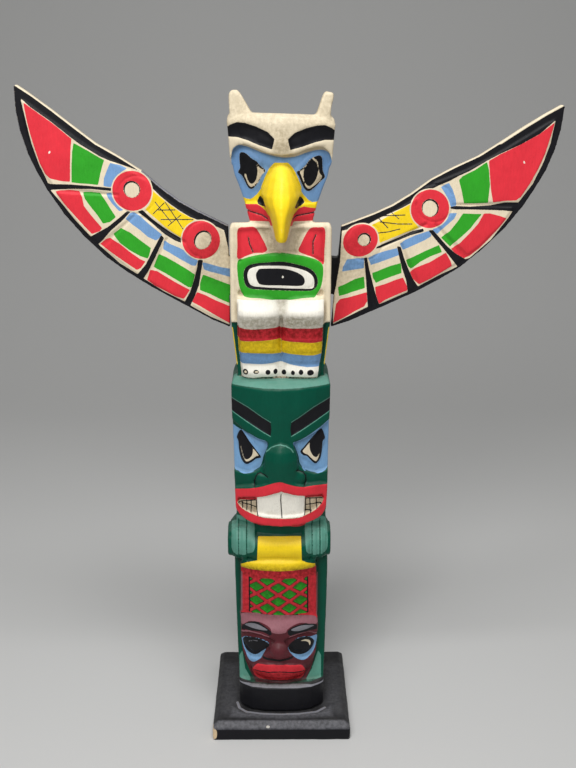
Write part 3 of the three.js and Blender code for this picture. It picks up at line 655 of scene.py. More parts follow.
# The body and the folded legs
PATCH_CREASES = [
    [(-23.4, 389.6), (-22.7, 385.2), (-20.2, 379.3)],
    [(25.9, 391.7), (23.8, 386.6), (23.9, 377.6)],
]
BODY_MARKS = [
    loop("red", (-31, 396.1), (-25.1, 397.6), (-19.2, 397.8), (-16.4, 394.6), (-13.5, 389.5),
        (-10.6, 383.6), (-9.9, 380.6), (-12.9, 378.8), (-18.7, 378.6), (-24.6, 376.7), (-31.4, 374.4),
        (-31.5, 384.4)),
    loop("red", (32.4, 396), (27.3, 397.4), (22.2, 397), (18.6, 392.5), (15, 385.2), (13.2, 380.1),
        (18.7, 377.2), (23.2, 375.7), (27.6, 373.1), (31.6, 370.5), (32.2, 381)),
    loop("green", (-31.6, 372.2), (-27.6, 374.3), (-21, 376.5), (-11.4, 378.3), (-0.4, 379), (12.8, 377.5),
        (21.6, 375.4), (29.1, 371.9), (31.4, 367.8), (31, 358.5), (29.2, 351.8), (25.6, 346.4),
        (22.5, 346.1), (14.3, 345.5), (-0.5, 344), (-13.8, 345.6), (-24.1, 346.1), (-28, 347.6),
        (-30.4, 353.4), (-31.6, 362.3)),
    loop("black", (-27.3, 363.9), (-24.7, 368.9), (-18.8, 371.1), (-7.7, 372.3), (1.8, 372.7),
        (12.8, 370.4), (20.9, 367.6), (25.4, 363.8), (27.5, 358.5), (26.9, 354.2), (24, 351.3),
        (18.8, 350.7), (-0.5, 351.4), (-13.8, 351.8), (-22.6, 352.5), (-26.3, 355.8)),
    loop("white", (-24.4, 363.1), (-22.5, 367.1), (-18.8, 368.6), (-13.6, 369.6), (1.8, 369.6),
        (12.1, 367.8), (19.5, 365.1), (23.6, 361.6), (24.9, 357.8), (24.4, 353.3), (21, 352.3), (3.2, 353),
        (-13.7, 353.7), (-21.1, 354.6), (-23.7, 357.9)),
    loop("black", (-18.1, 362.7), (-16.6, 366.1), (-13.6, 367.5), (1.8, 367.5), (11.3, 365), (16.5, 361.6),
        (17.8, 358.2), (16.9, 355.6), (13.6, 354.6), (-0.4, 355.1), (-13.7, 355.4), (-17, 357.9)),
    dot("white", (1.6, 361.4), (0.9, 1.0)),
    area("pine", (-36.6, 325.7), (-29.4, 328.2), (-25.7, 284.8), (-33, 282.4), (-34.4, 303.8),
        (-35.9, 319.8)),
    area("pine", (27.6, 327.2), (37.6, 324.3), (36.2, 315.6), (33.8, 302.1), (31.9, 285.8), (31.8, 282.5),
        (23.7, 285)),
    area("white", (-32.4, 344.5), (32.2, 344.4), (31.3, 323.5), (23.3, 323.3), (15.8, 323.4), (9.1, 323.2),
        (2.5, 323.5), (0.2, 322.7), (-1.3, 323.8), (-6.5, 323.5), (-13.9, 323), (-21.3, 322.6),
        (-28.1, 322.9), (-32.5, 323.8)),
    area("red", (-32.5, 323.8), (-28.1, 322.9), (-21.3, 322.6), (-13.9, 323), (-6.5, 323.5), (-1.3, 323.8),
        (0.2, 323.1), (0.2, 313.5), (-1.3, 314.5), (-6.5, 314.3), (-14, 313.7), (-22.9, 313.2),
        (-30.6, 312.9), (-32.6, 315)),
    area("red", (0.2, 322.7), (2.5, 323.5), (9.1, 323.2), (15.8, 323.4), (23.3, 323.3), (31.6, 323.4),
        (31.4, 312.3), (23.4, 311.8), (16.6, 312.3), (10.7, 312.7), (4, 312.8), (0.2, 312.7)),
    area("yellow", (-32.4, 315.1), (-30.6, 312.9), (-22.9, 313.2), (-14, 313.7), (-6.5, 314.3),
        (-1.3, 314.5), (0.5, 313.8), (0.5, 302.6), (-4.3, 302.9), (-14.1, 303.5), (-24.6, 303.7),
        (-31.7, 303.1)),
    area("yellow", (0.5, 312.7), (4, 312.8), (10.7, 312.7), (16.6, 312.3), (23.4, 311.8), (31.4, 312.3),
        (30.8, 302.4), (24.3, 301.5), (18.2, 301.7), (10.7, 302.5), (2.5, 303.1), (0.5, 303.3)),
    area("blue", (-31.7, 303.1), (-24.6, 303.7), (-14.1, 303.5), (-4.3, 302.9), (0.5, 302.6), (0.5, 295.9),
        (-1.3, 295.9), (-6.6, 295.3), (-14.2, 294.6), (-23.3, 294.9), (-30.7, 294.2)),
    area("blue", (0.5, 303.3), (2.5, 303.1), (10.7, 302.5), (18.2, 301.7), (24.3, 301.5), (30.8, 302.4),
        (29, 292.1), (19.8, 292.3), (13, 293.1), (7, 294.3), (2.5, 295.5), (0.5, 296.3)),
    area("white", (-30.7, 294.2), (-23.3, 294.9), (-14.2, 294.6), (-6.6, 295.3), (0.2, 296.3),
        (2.5, 295.5), (7, 294.3), (13, 293.1), (19.8, 292.3), (29, 292.1), (28, 283.8), (14.6, 284.4),
        (-14.3, 284.5), (-29.8, 282.4)),
    # Painted shadow: a black line in the gap under the feet
    line("black", 0.7, (-29.8, 282.9), (27.2, 282.9)),
]
LEG_CORNER = ((287, 33.2), (327, 37.4))
STRIP_SPAN = (292, 322)
STRIP_WIDTH = 0.9
STRIP_DEPTH = -14.0
CREST_SPAN = (278.4, 283.0)
BEAK_SPAN = (388, 444)
BEAK_OVER = 1.2
LIPS_LOW = 402.4
LIPS_DEPTH = -28.0
LIPS_HALF = 14.0
CLAWS = [
    ((-26.8, 288.1), (2.1, 2.3)),
    ((-18.7, 288.7), (2.3, 1.6)),
    ((-9.7, 288.3), (1.9, 2.0)),
    ((-4, 288.6), (1.6, 2.1)),
    ((2.4, 287.7), (1.8, 2.1)),
    ((9.2, 287.8), (1.5, 1.9)),
    ((15.3, 288.3), (1.8, 2.1)),
    ((22.5, 287.8), (2.6, 2.3)),
]
PALE_CLAWS = 2

# The beaver
BEAVER_BROW = [
    (38.5, 268.5), (25, 262.3), (7.9, 251.8), (7.2, 246.4), (8, 240.5), (25, 250.2), (38.5, 258),
]
# The brows' lit edges, painted pale green as painted highlights
BROW_EDGES = [[(39, 268.4), (25, 262.6), (7.9, 252)], [(39, 257.8), (25, 250.2), (8, 240.6)]]
BROW_EDGES += [mirrored(edge) for edge in BROW_EDGES]
INCISORS = [
    (-18.6, 176), (-16.4, 174.6), (17, 174.4), (18.2, 176), (18.6, 191.8), (8.4, 194), (0, 197),
    (-8.5, 193.8), (-18.8, 190.6),
]
BEAVER_MARKS = [
    *both_sides("black", BEAVER_BROW),
    loop("sky", (-39.6, 242.7), (-37.2, 244.4), (-31.7, 242), (-25.2, 241.6), (-17.5, 238.3),
        (-11.4, 236.5), (-10.3, 231.6), (-11.5, 228.1), (-13.5, 222.4), (-14.3, 218.2), (-16.3, 213.6),
        (-21, 209.8), (-27.3, 207.2), (-32.9, 207.4), (-37, 208.8), (-39.3, 212.6), (-40.6, 226.9)),
    loop("sky", (38.1, 248.2), (36.3, 249.6), (31.5, 246.2), (26.9, 243.6), (19.1, 239.2), (12.2, 236.4),
        (9.2, 234.9), (11.6, 228.2), (13.5, 222.3), (14.3, 217.2), (17.1, 212.6), (20.9, 209.8),
        (27.2, 207.2), (32.8, 207.2), (36.1, 208.5), (39.4, 210.7), (40, 226.7)),
    loop("black", (-31.3, 241.3), (-34.3, 234.7), (-33.1, 231.8), (-32.6, 223.9), (-30.8, 216.7),
        (-27.3, 213.5), (-22.5, 216.4), (-19.3, 219.4), (-15.4, 221.3), (-19.2, 227.1), (-23.9, 233),
        (-27.7, 238.5)),
    loop("cream", (-31.4, 232.2), (-30.8, 224.8), (-29.2, 219), (-26.8, 216.1), (-22.4, 218.8),
        (-19.3, 221.7), (-17.3, 222.7), (-20.4, 226.9), (-25.4, 231.9)),
    loop("black", (-32.5, 239.3), (-29.3, 239.3), (-25.8, 234.3), (-22.7, 229.4), (-21.7, 225.8),
        (-22.8, 221.5), (-25.6, 218.5), (-28, 218.4), (-29.7, 222.6), (-31, 228.1), (-32.1, 233.7)),
    loop("black", (31.8, 241.6), (34.3, 233.7), (32.5, 231.8), (31.9, 223.9), (30.7, 217.6), (27.3, 213.9),
        (23.9, 217), (20, 221.9), (17.6, 222.7), (14.9, 225.9), (18.3, 230.1), (22.2, 234.5),
        (26.1, 238.5), (29, 241.2)),
    loop("cream", (23.2, 232.9), (19.3, 229.4), (16.7, 226.2), (18.6, 224.1), (20.9, 222.7), (24.2, 218.8),
        (27.3, 216.2), (29.3, 219.2), (30.4, 224.8), (30.7, 230.6)),
    loop("black", (31, 240.4), (33, 235), (31.5, 232), (30.8, 226.3), (29.3, 221.3), (27.2, 219.7),
        (24.6, 221.9), (22.6, 226.4), (22.2, 231.4), (24, 234.9), (27.1, 238.1)),
    loop("red", (-39.2, 192.2), (-32, 195.4), (-20.1, 198.8), (-10, 202.6), (-4.6, 204.7), (0, 205.4),
        (5.3, 203.3), (11.5, 201.2), (18.5, 199.8), (26.3, 199.6), (34.3, 198.2), (37.5, 195.4),
        (37.6, 186.7), (35.8, 179.8), (33, 173.5), (26.8, 166.8), (19, 162.1), (8.6, 161.2), (-4.8, 167.1),
        (-15.2, 161.8), (-26.2, 166.3), (-32.4, 172.6), (-36.3, 178.2), (-39.3, 186.1)),
    loop("cream", (-33.9, 183.5), (-26.7, 185.1), (-19.6, 187), (-11.6, 191.3), (-4.7, 193.9), (0, 194.6),
        (6.1, 192.6), (11.6, 191.2), (18.7, 188.8), (26.6, 187.5), (32.7, 186), (33, 184.1), (31.3, 181.6),
        (27.3, 178.3), (18.6, 175), (10.8, 173.7), (-0.1, 174), (-14.9, 174.2), (-24.3, 176.3),
        (-29.9, 178.2), (-33, 180.8)),
    area("white", *INCISORS),
]
TEETH_LINES = [
    [(0, 193.8), (-0.3, 189), (0.3, 180.3), (0.7, 174.9)],
    [(-19.2, 186.4), (-19.1, 179.4), (-18, 174.9)],
    [(19.1, 188), (19.1, 179.2), (18.3, 175.6)],
    [(-27.1, 184.7), (-26.9, 178.1)],
    [(-23.5, 185.5), (-23.5, 177.2)],
    [(-30.8, 181.4), (-24.4, 181.4), (-19.6, 180.1)],
    [(22.6, 187.3), (23, 176.4)],
    [(27.8, 186.1), (28, 178.6)],
    [(19.5, 182.2), (25.9, 181.8), (31.4, 182)],
    [(19.5, 177.8), (23.5, 177.5)],
    [(-33.2, 182.2), (-19.6, 186.3)],
    [(19.5, 187.9), (32.3, 185.3)],
    [(-30.8, 182.8), (-30, 179.3)],
]
NOSE_ARCS = [
    [(-10.7, 208.4), (-13.1, 209.9), (-16.2, 211), (-18.5, 209.8), (-20.1, 206.7), (-21, 202.5),
        (-20.9, 199.6)],
    [(12.3, 213.3), (14.6, 212.5), (17.7, 211), (19.7, 207.4), (19.7, 202.5), (18.6, 200.4)],
]
# The nose's top edge, painted pale green as a painted highlight
NOSE_EDGE = [(-11.4, 228), (-7.6, 232), (-3.8, 234), (-0.7, 234.8), (3.8, 233.7), (7.7, 231), (9.4, 228.4)]

# The stick, the tail and the small face
LEDGE = [
    (-32.6, 129.5), (-27.2, 132.6), (-20, 134.4), (16.5, 134.4), (21.3, 132.2), (27.4, 130), (27.4, 126.9),
    (-32.3, 126.9),
]
LATTICE_FIELD = [(-25.9, 88.4), (21.2, 87.4), (21.2, 119.9), (-25.9, 119.9)]
LATTICE_SIDES = [[(-25.7, 119), (-25.7, 89)], [(21.2, 119), (21.5, 88)]]
SIDE_HALF = 0.55
BLOCK_TOP = 22.0
LATTICE_ACROSS = 17.7
LATTICE_UP = 12.2
RIB_HALF = 1.15
RIB_SHADE = 0.5
# The up-facing top of the black foot block: grey for dust and painted light
BLOCK_TOP_DUST_AND_LIGHT = [
    (-34.9, 22.2), (-26, 23.7), (-16, 24.1), (-1.2, 24.1), (15.3, 24.1), (30.3, 22.5), (36, 22.2),
    (36, 21.2), (31.1, 21.4), (25.2, 21.8), (15.2, 22), (-1.2, 22.1), (-13.5, 22.3), (-24.3, 22.1),
    (-30.2, 21.8), (-36, 21.4),
]
# The paws' pale green is painted sheen
PAWS = [
    loop("lit_and_rubbed_green", (-38.6, 167), (-30, 169.6), (-22.4, 166), (-21, 155), (-21.4, 144), (-29, 139.4),
        (-38.4, 141), (-39.4, 154)),
    loop("lit_and_rubbed_green", (19.8, 166), (27, 169.6), (35, 167), (37, 154), (36, 142), (28, 139.2), (20.6, 142),
        (19, 155)),
    line("pine", 0.5, (-33.8, 166), (-33.6, 139)),
    line("pine", 0.5, (-27.4, 168), (-27.2, 139)),
    line("pine", 0.5, (24.6, 168), (24.6, 139)),
    line("pine", 0.5, (30.8, 167), (30.8, 139)),
]
LOWER_GROUNDS = [
    area("red", (-32.3, 128.6), (27.9, 128.4), (29.6, 92.5), (29.4, 79.7), (-32.8, 85.1)),
    area("yellow", (-18.4, 153.6), (15.8, 153.6), (16.5, 133.4), (-19.2, 133.6)),
    area("yellow", *LEDGE),
    # Painted light: lit brown red along the edges of the tail frame
    line("lit_brown_red", 0.6, (-31.7, 122.3), (-32.1, 88.1)),
    line("lit_brown_red", 0.6, (29, 118.1), (29.2, 83.1)),
    area("maroon", (-32.8, 86), (-25.3, 87.6), (-9.1, 89), (7, 87.9), (21.6, 85.3), (22, 83), (30.2, 75.9),
        (29.5, 69.7), (28.8, 55.1), (26.7, 38.5), (23.7, 30.9), (20.4, 24.8), (16.1, 24.4), (-1.2, 24.4),
        (-16, 24.4), (-22, 24.4), (-26.1, 30.4), (-29.5, 37.6), (-32, 46), (-33.4, 60.8)),
    # Pale green painted sheen on the lit side strips beside the small face
    area("lit_and_rubbed_green", (30.5, 46), (33, 41.7), (33, 24.4), (20.4, 24.4), (25.4, 32.3)),
    area("lit_and_rubbed_green", (-34.9, 41.7), (-32.4, 46), (-30.3, 31.9), (-25.3, 24.5), (-34.9, 23.9)),
    # Painted light: the small face's up-facing forehead in lit brown red, with two lines of the same under
    # the brows
    loop("lit_brown_red", (-32, 85.4), (-9.1, 89), (21.6, 85.1), (29.1, 80.6), (28.2, 76.1), (15.1, 80.4),
        (5.4, 77.3), (3, 74.1), (-7, 74.1), (-9.1, 78), (-15.6, 80.9), (-25.4, 80.5), (-32, 76)),
    line("lit_brown_red", 0.7, (-32.2, 69.2), (-25.5, 71.5), (-17.3, 71.5), (-10, 69.9)),
    line("lit_brown_red", 0.7, (7, 69.8), (15.1, 71.1), (21.6, 70.6), (28.5, 65.9)),
]
SMALL_FACE_MARKS = [
    loop("black", (-32.1, 74), (-27.9, 78.2), (-22.1, 80.9), (-16.4, 80), (-11.6, 77.5), (-8.3, 75),
        (-8.7, 71.5), (-14.8, 73.7), (-22.2, 73.1), (-28.8, 72.1), (-32.1, 71.1)),
    loop("black", (5.4, 75.9), (9.4, 78.1), (15.1, 79), (21.6, 78.3), (28.2, 75.6), (28.7, 71),
        (21.6, 72.1), (13.5, 72), (7, 71.3), (5.4, 72.9)),
    loop("sky", (-33.1, 58.1), (-30.7, 63.1), (-23.9, 65.7), (-15.7, 65.9), (-10, 62.8), (-12.5, 56),
        (-15.9, 49.5), (-19.2, 45.8), (-23.4, 42.3), (-26.7, 43.5), (-29.5, 49.7), (-32, 55.7)),
    loop("sky", (29.3, 63.5), (25.1, 64.3), (18.4, 66.6), (11.9, 66), (6.2, 60.3), (5.4, 58.5),
        (7.8, 53.8), (12.7, 48.3), (17.7, 45.2), (22.3, 46), (26.1, 49.9), (28.6, 56.6)),
    loop("black", (-31.6, 60.3), (-27.3, 64.4), (-20.6, 65.4), (-14.1, 64.5), (-9.7, 60.6), (-15, 54.6),
        (-20, 49.7), (-25, 49), (-29.2, 52)),
    loop("black", (5.8, 59.6), (10.7, 65), (16.8, 66.2), (22.6, 64.7), (26.8, 59.7), (25.2, 53.6),
        (20.6, 50), (14.4, 50.2), (8.3, 54.2)),
    line("grey", 0.4, (-27.2, 60.2), (-23.6, 62.6), (-19.4, 63)),
    loop("cream", (15.5, 62.8), (19.5, 63.6), (23.2, 61.4), (24, 58.4), (23, 56.4), (22.2, 59.6),
        (19.6, 61.8)),
    loop("red", (-24.4, 34.3), (-20.8, 41.7), (-15.8, 43.8), (-1.2, 45.4), (12.7, 43), (17.7, 40),
        (19.9, 33.4), (18.7, 28.2), (15.4, 25.3), (7.1, 26.1), (-5.3, 26.4), (-16.1, 25), (-21.1, 26.5),
        (-23.6, 29.9)),
    loop("grey", (-30, 76.2), (-24, 79.2), (-17, 78.6), (-11, 76), (-17, 75.2), (-24, 75.2)),
    loop("grey", (7.6, 76.2), (14.6, 78), (21.4, 77.2), (27.2, 75), (20, 74), (13, 74)),
    # Painted shadow under the small face's nose
    line("black", 1.0, (-14.4, 49.6), (-10.9, 48.8), (-1.1, 48.4), (5.4, 49.2), (8.6, 50.4)),
    line("black", 0.55, (-21.8, 35.5), (-1.2, 38.7), (18.6, 34.4)),
]
THIN_LINES = [
    # Pale green painted highlights along the lit brow and nose edges
    ("lit_and_rubbed_green", 0.34, [*BROW_EDGES, NOSE_EDGE]),
    ("black", 0.36, [*TEETH_LINES, *NOSE_ARCS]),
    # Maroon in the patch creases and the mouth is painted shade in the cut grooves
    ("maroon", 0.5, [*PATCH_CREASES, *BIRD_MOUTH]),
]
FINE_REACH = 1.6
FINE_LINES = [line for _, _, lines in THIN_LINES for line in lines]

# Where the paint is darkened: dirt, and painted shade under the knees and the ledge, between the legs, beside
# the rails and towards the foot: an outline, how strong, and how far its edge fades in mm
STAINS_AND_SHADE = [
    ([(-40, 490), (40, 490), (40, 466), (10, 460), (-6, 460), (-40, 466)], 0.42, 4),
    ([(-5, 468), (7, 468), (8, 450), (-5, 450)], 0.62, 2),
    ([(-42, 514), (-26, 514), (-24, 486), (-42, 484)], 0.35, 4),
    ([(26, 514), (42, 514), (42, 486), (26, 486)], 0.4, 3),
    ([(-28, 449), (-12, 445), (-11, 436), (-20, 425), (-28, 434)], 0.5, 1),
    ([(14, 440), (22, 447), (30, 446), (31, 434), (20, 424)], 0.5, 1),
    # Painted shadow under the knees, fading down across the leg bands
    ([(-34, 324), (34, 324), (33, 315), (-34, 315)], 1.0, 1.2),
    ([(-34, 315), (34, 315), (33, 303), (-34, 303)], 0.6, 1.2),
    ([(-34, 303), (34, 303), (33, 295), (-34, 295)], 0.35, 1.2),
    # Painted shadow under the ledge, and painted shade over the tail and the small face, darker towards the
    # foot
    ([(-34, 130.5), (30, 130.5), (30, 118), (-34, 118)], 1.0, 3),
    ([(-34, 120), (31, 120), (31, 84), (-34, 86)], 0.7, 3),
    ([(-26, 35), (-1.2, 38), (20, 34), (20, 23), (-26, 23)], 0.85, 1),
    ([(-34, 90), (30, 90), (30, 24), (-34, 24)], 0.2, 3),
    # Painted shade with dirt on the undersides of the knees
    ([(-31, 332.4), (-13.7, 333.6), (-2, 333.8), (-1.4, 323.6), (-13.9, 323), (-31, 323.7)], 0.75, 2.6),
    ([(1.6, 333.6), (14.2, 334.4), (30.6, 332.4), (30.6, 323.8), (14.3, 323.8), (1.6, 323.5)], 0.85, 2.6),
    ([(-13.4, 399.2), (-9.1, 398), (-3, 388), (-1, 379), (-9.8, 379), (-11.2, 388), (-16.3, 398.5)], 0.7, 2),
    ([(11.3, 398.5), (16.4, 398), (15, 388), (12.8, 378.6), (6, 379), (7.4, 388)], 0.6, 2),
    # Painted shade with dirt in the gap between the legs
    ([(-2.4, 345), (4.6, 345), (3.4, 322), (2.6, 296), (-2, 296), (-1.4, 322)], 0.6, 1.6),
    # Painted shade with dirt in the steps beside the rails
    ([(-34.6, 400), (-32.4, 400), (-32.4, 328), (-34.6, 328)], 0.3, 0.8),
    ([(33.8, 400), (31.8, 400), (31.6, 328), (33.6, 328)], 0.35, 0.8),
    ([(-34, 188), (-19.4, 192), (-19.4, 176), (-34, 178)], 0.5, 0.8),
    ([(19.2, 192), (33, 190), (33, 178), (19.2, 174)], 0.4, 0.8),
]

POLE_CUTS = [
    ([(0.2, 174), (0.2, 197)], 0.5, 0.7, FRONT),
    *((arc, 0.7, 0.8, FRONT) for arc in NOSE_ARCS),
    *(([(x - 1.5, 132), (x - 1.5, 161)], 0.5, 0.8, FRONT) for x in (-35.4, -30.3, -24.9, 24.9, 30.3, 35.4)),
    *((line, 0.5, 0.35, FRONT) for line in TEETH_LINES[3:]),
    *((line, 0.6, 0.8, FRONT) for line in (*PATCH_CREASES, *BIRD_MOUTH)),
]

# Where the pole's mesh may be thinned out, and to how many triangles
PLAIN_BACK = -6.0
PLAIN_MARGIN = 2.5
MOST_TRIANGLES = 190000


def lattice_ribs():
    """The slanting lines of the crosshatched tail, each from the field's left edge to its right"""
    (left, low), (right, _), (_, high), _ = LATTICE_FIELD
    reach = right - left
    count = math.ceil((reach / LATTICE_ACROSS + (high - low) / LATTICE_UP) / 2)
    lines = []
    for side in (-1, 1):
        rise = side * reach * LATTICE_UP / LATTICE_ACROSS / 2
        for i in range(-count, count + 1):
            foot = (low + high) / 2 + i * LATTICE_UP + 1.5
            lines.append([(left, foot - rise), (right, foot + rise)])
    return lines


def head_places(x, n):
    up = np.clip((n - HEAD_LOW) / HEAD_RISE, 0, 1)
    return x - HEAD_SHIFT, n + (x - HEAD_SHIFT) * HEAD_LEAN * up


def between(values, span):
    return np.minimum(values - span[0], span[1] - values)


def lines_distance(lines, a, b):
    return np.min([-mark_distance("line", line, 0.0, a, b) for line in lines], axis=0)


def stains_and_shade_of(stains, a, b, room):
    """How strongly stains and painted shade cover each place, from 0 to 1"""
    out = np.zeros(len(a))
    for outline, strength, fade in stains:
        share = np.clip(0.5 + mark_distance("area", outline, 0, a, b) / (2 * fade), 0, 1)
        out = np.maximum(out, share * strength)
    return np.where(room > 0, out, 0)


def pole_places(mesh):
    """A mesh's vertex places in mm, with the height over the pole's foot"""
    places, _ = places_of(mesh)
    return places[:, 0], places[:, 1], places[:, 2] - POLE_FOOT


def paint_pole(x, y, n):
    coat = Coat(len(x), "black")
    for paint, *span in GROUNDS:
        coat.lay(paint, between(n, span), POLE_TURN - y)
    front = FRONT - y
    coat.lay_marks(BIRD_FACE, x, n, front)
    inner_lip = np.minimum(LIPS_DEPTH - y, LIPS_HALF - np.abs(x))
    coat.lay_marks(BIRD_LIPS, x, n, np.minimum(front, np.maximum(n - LIPS_LOW, inner_lip)))
    heights, edges, halves = zip(*BEAK_EDGE)
    forward = np.interp(n, heights, edges) + BEAK_OVER - y
    sideways = np.interp(n, heights, halves) + 1 - np.abs(x - HEAD_SHIFT)
    coat.lay("yellow", np.minimum(forward, sideways), between(n, BEAK_SPAN))
    coat.lay_marks(both_sides("black", BIRD_BROW), *head_places(x, n), front)
    coat.lay_marks(BIRD_EYES + BODY_MARKS, x, n, front)
    strip = np.abs(x) - np.interp(n, *zip(*LEG_CORNER)) + STRIP_WIDTH
    coat.lay("yellow", np.minimum(strip, STRIP_DEPTH - y), between(n, STRIP_SPAN))
    for i, (place, (wide, high)) in enumerate(CLAWS):
        coat.lay_marks([dot("black", place, (wide, high))], x, n, front)
        if i < PALE_CLAWS:
            coat.lay_marks([dot("cream", place, (wide * 0.5, high * 0.45))], x, n, front)
    # Painted highlight: a pale green band on the lit top of the beaver's head
    coat.lay("lit_and_rubbed_green", between(n, CREST_SPAN), front)
    coat.lay_marks(BEAVER_MARKS, x, n, front)
    for paint, half, lines in THIN_LINES:
        coat.lay(paint, half - lines_distance(lines, x, n), front)
    coat.lay_marks(PAWS + LOWER_GROUNDS + SMALL_FACE_MARKS, x, n, front)
    field = np.minimum(mark_distance("area", LATTICE_FIELD, 0, x, n), front)
    ribs = RIB_HALF - lines_distance(lattice_ribs(), x, n)
    coat.lay("green", field)
    # Painted shade: a maroon edge along both sides of each raised rib
    coat.lay("maroon", ribs + RIB_SHADE, field)
    coat.lay("red", ribs, field)
    coat.lay("black", SIDE_HALF - lines_distance(LATTICE_SIDES, x, n), front)
    coat.lay("black", BLOCK_TOP - n)
    # Dust and painted light: the block's up-facing top edge painted grey
    coat.lay_marks([area("grey", *BLOCK_TOP_DUST_AND_LIGHT)], x, n, front)
    return coat


# The wings. Places are along and across the board in mm

WING_PITCH = 33.7
WING_SEAT = (37.4, 331.3)
WING_CORNER = (-44.0, -65.4)
BOARD_MIDDLE = 6.5
TOP_EDGE = [
    (-1, 0.4), (12, -1.4), (26, -3.4), (41, -4.6), (57, -3.8), (75, -1.4), (94, -1.8), (114, -3.2),
    (132, -2), (153, -0.4), (170, 0.5), (185, 0.4),
]
TIP_EDGE = [(184.4, -1.8), (175.6, -15), (165, -26.8), (153, -37)]
LEFT_FIELD = [
    (176, -5.9), (166.8, -7.3), (149.8, -7.9), (131.9, -9.6), (123.1, -10.2), (106.4, -9.5), (98.6, -8.2),
    (87.5, -5.1), (80, -3.2), (72.6, -4), (64.4, -7.4), (54.3, -9.5), (45, -10.4), (36, -10.7),
    (27.4, -10.3), (19.5, -8.7), (12, -6.4), (0.8, -4.4), (-16, -20.6), (-43.7, -63.7), (-26.3, -66.7),
    (-8.8, -67.9), (-4.1, -67.7), (13.7, -69.7), (30.7, -69.8), (38.1, -69.5), (53, -69.8), (72.6, -66.7),
    (81.7, -64.5), (98.2, -60.2), (112.3, -55.2), (125, -51.2), (131.5, -45.8), (140.8, -39.8),
    (153.6, -29.2), (166, -16.1),
]
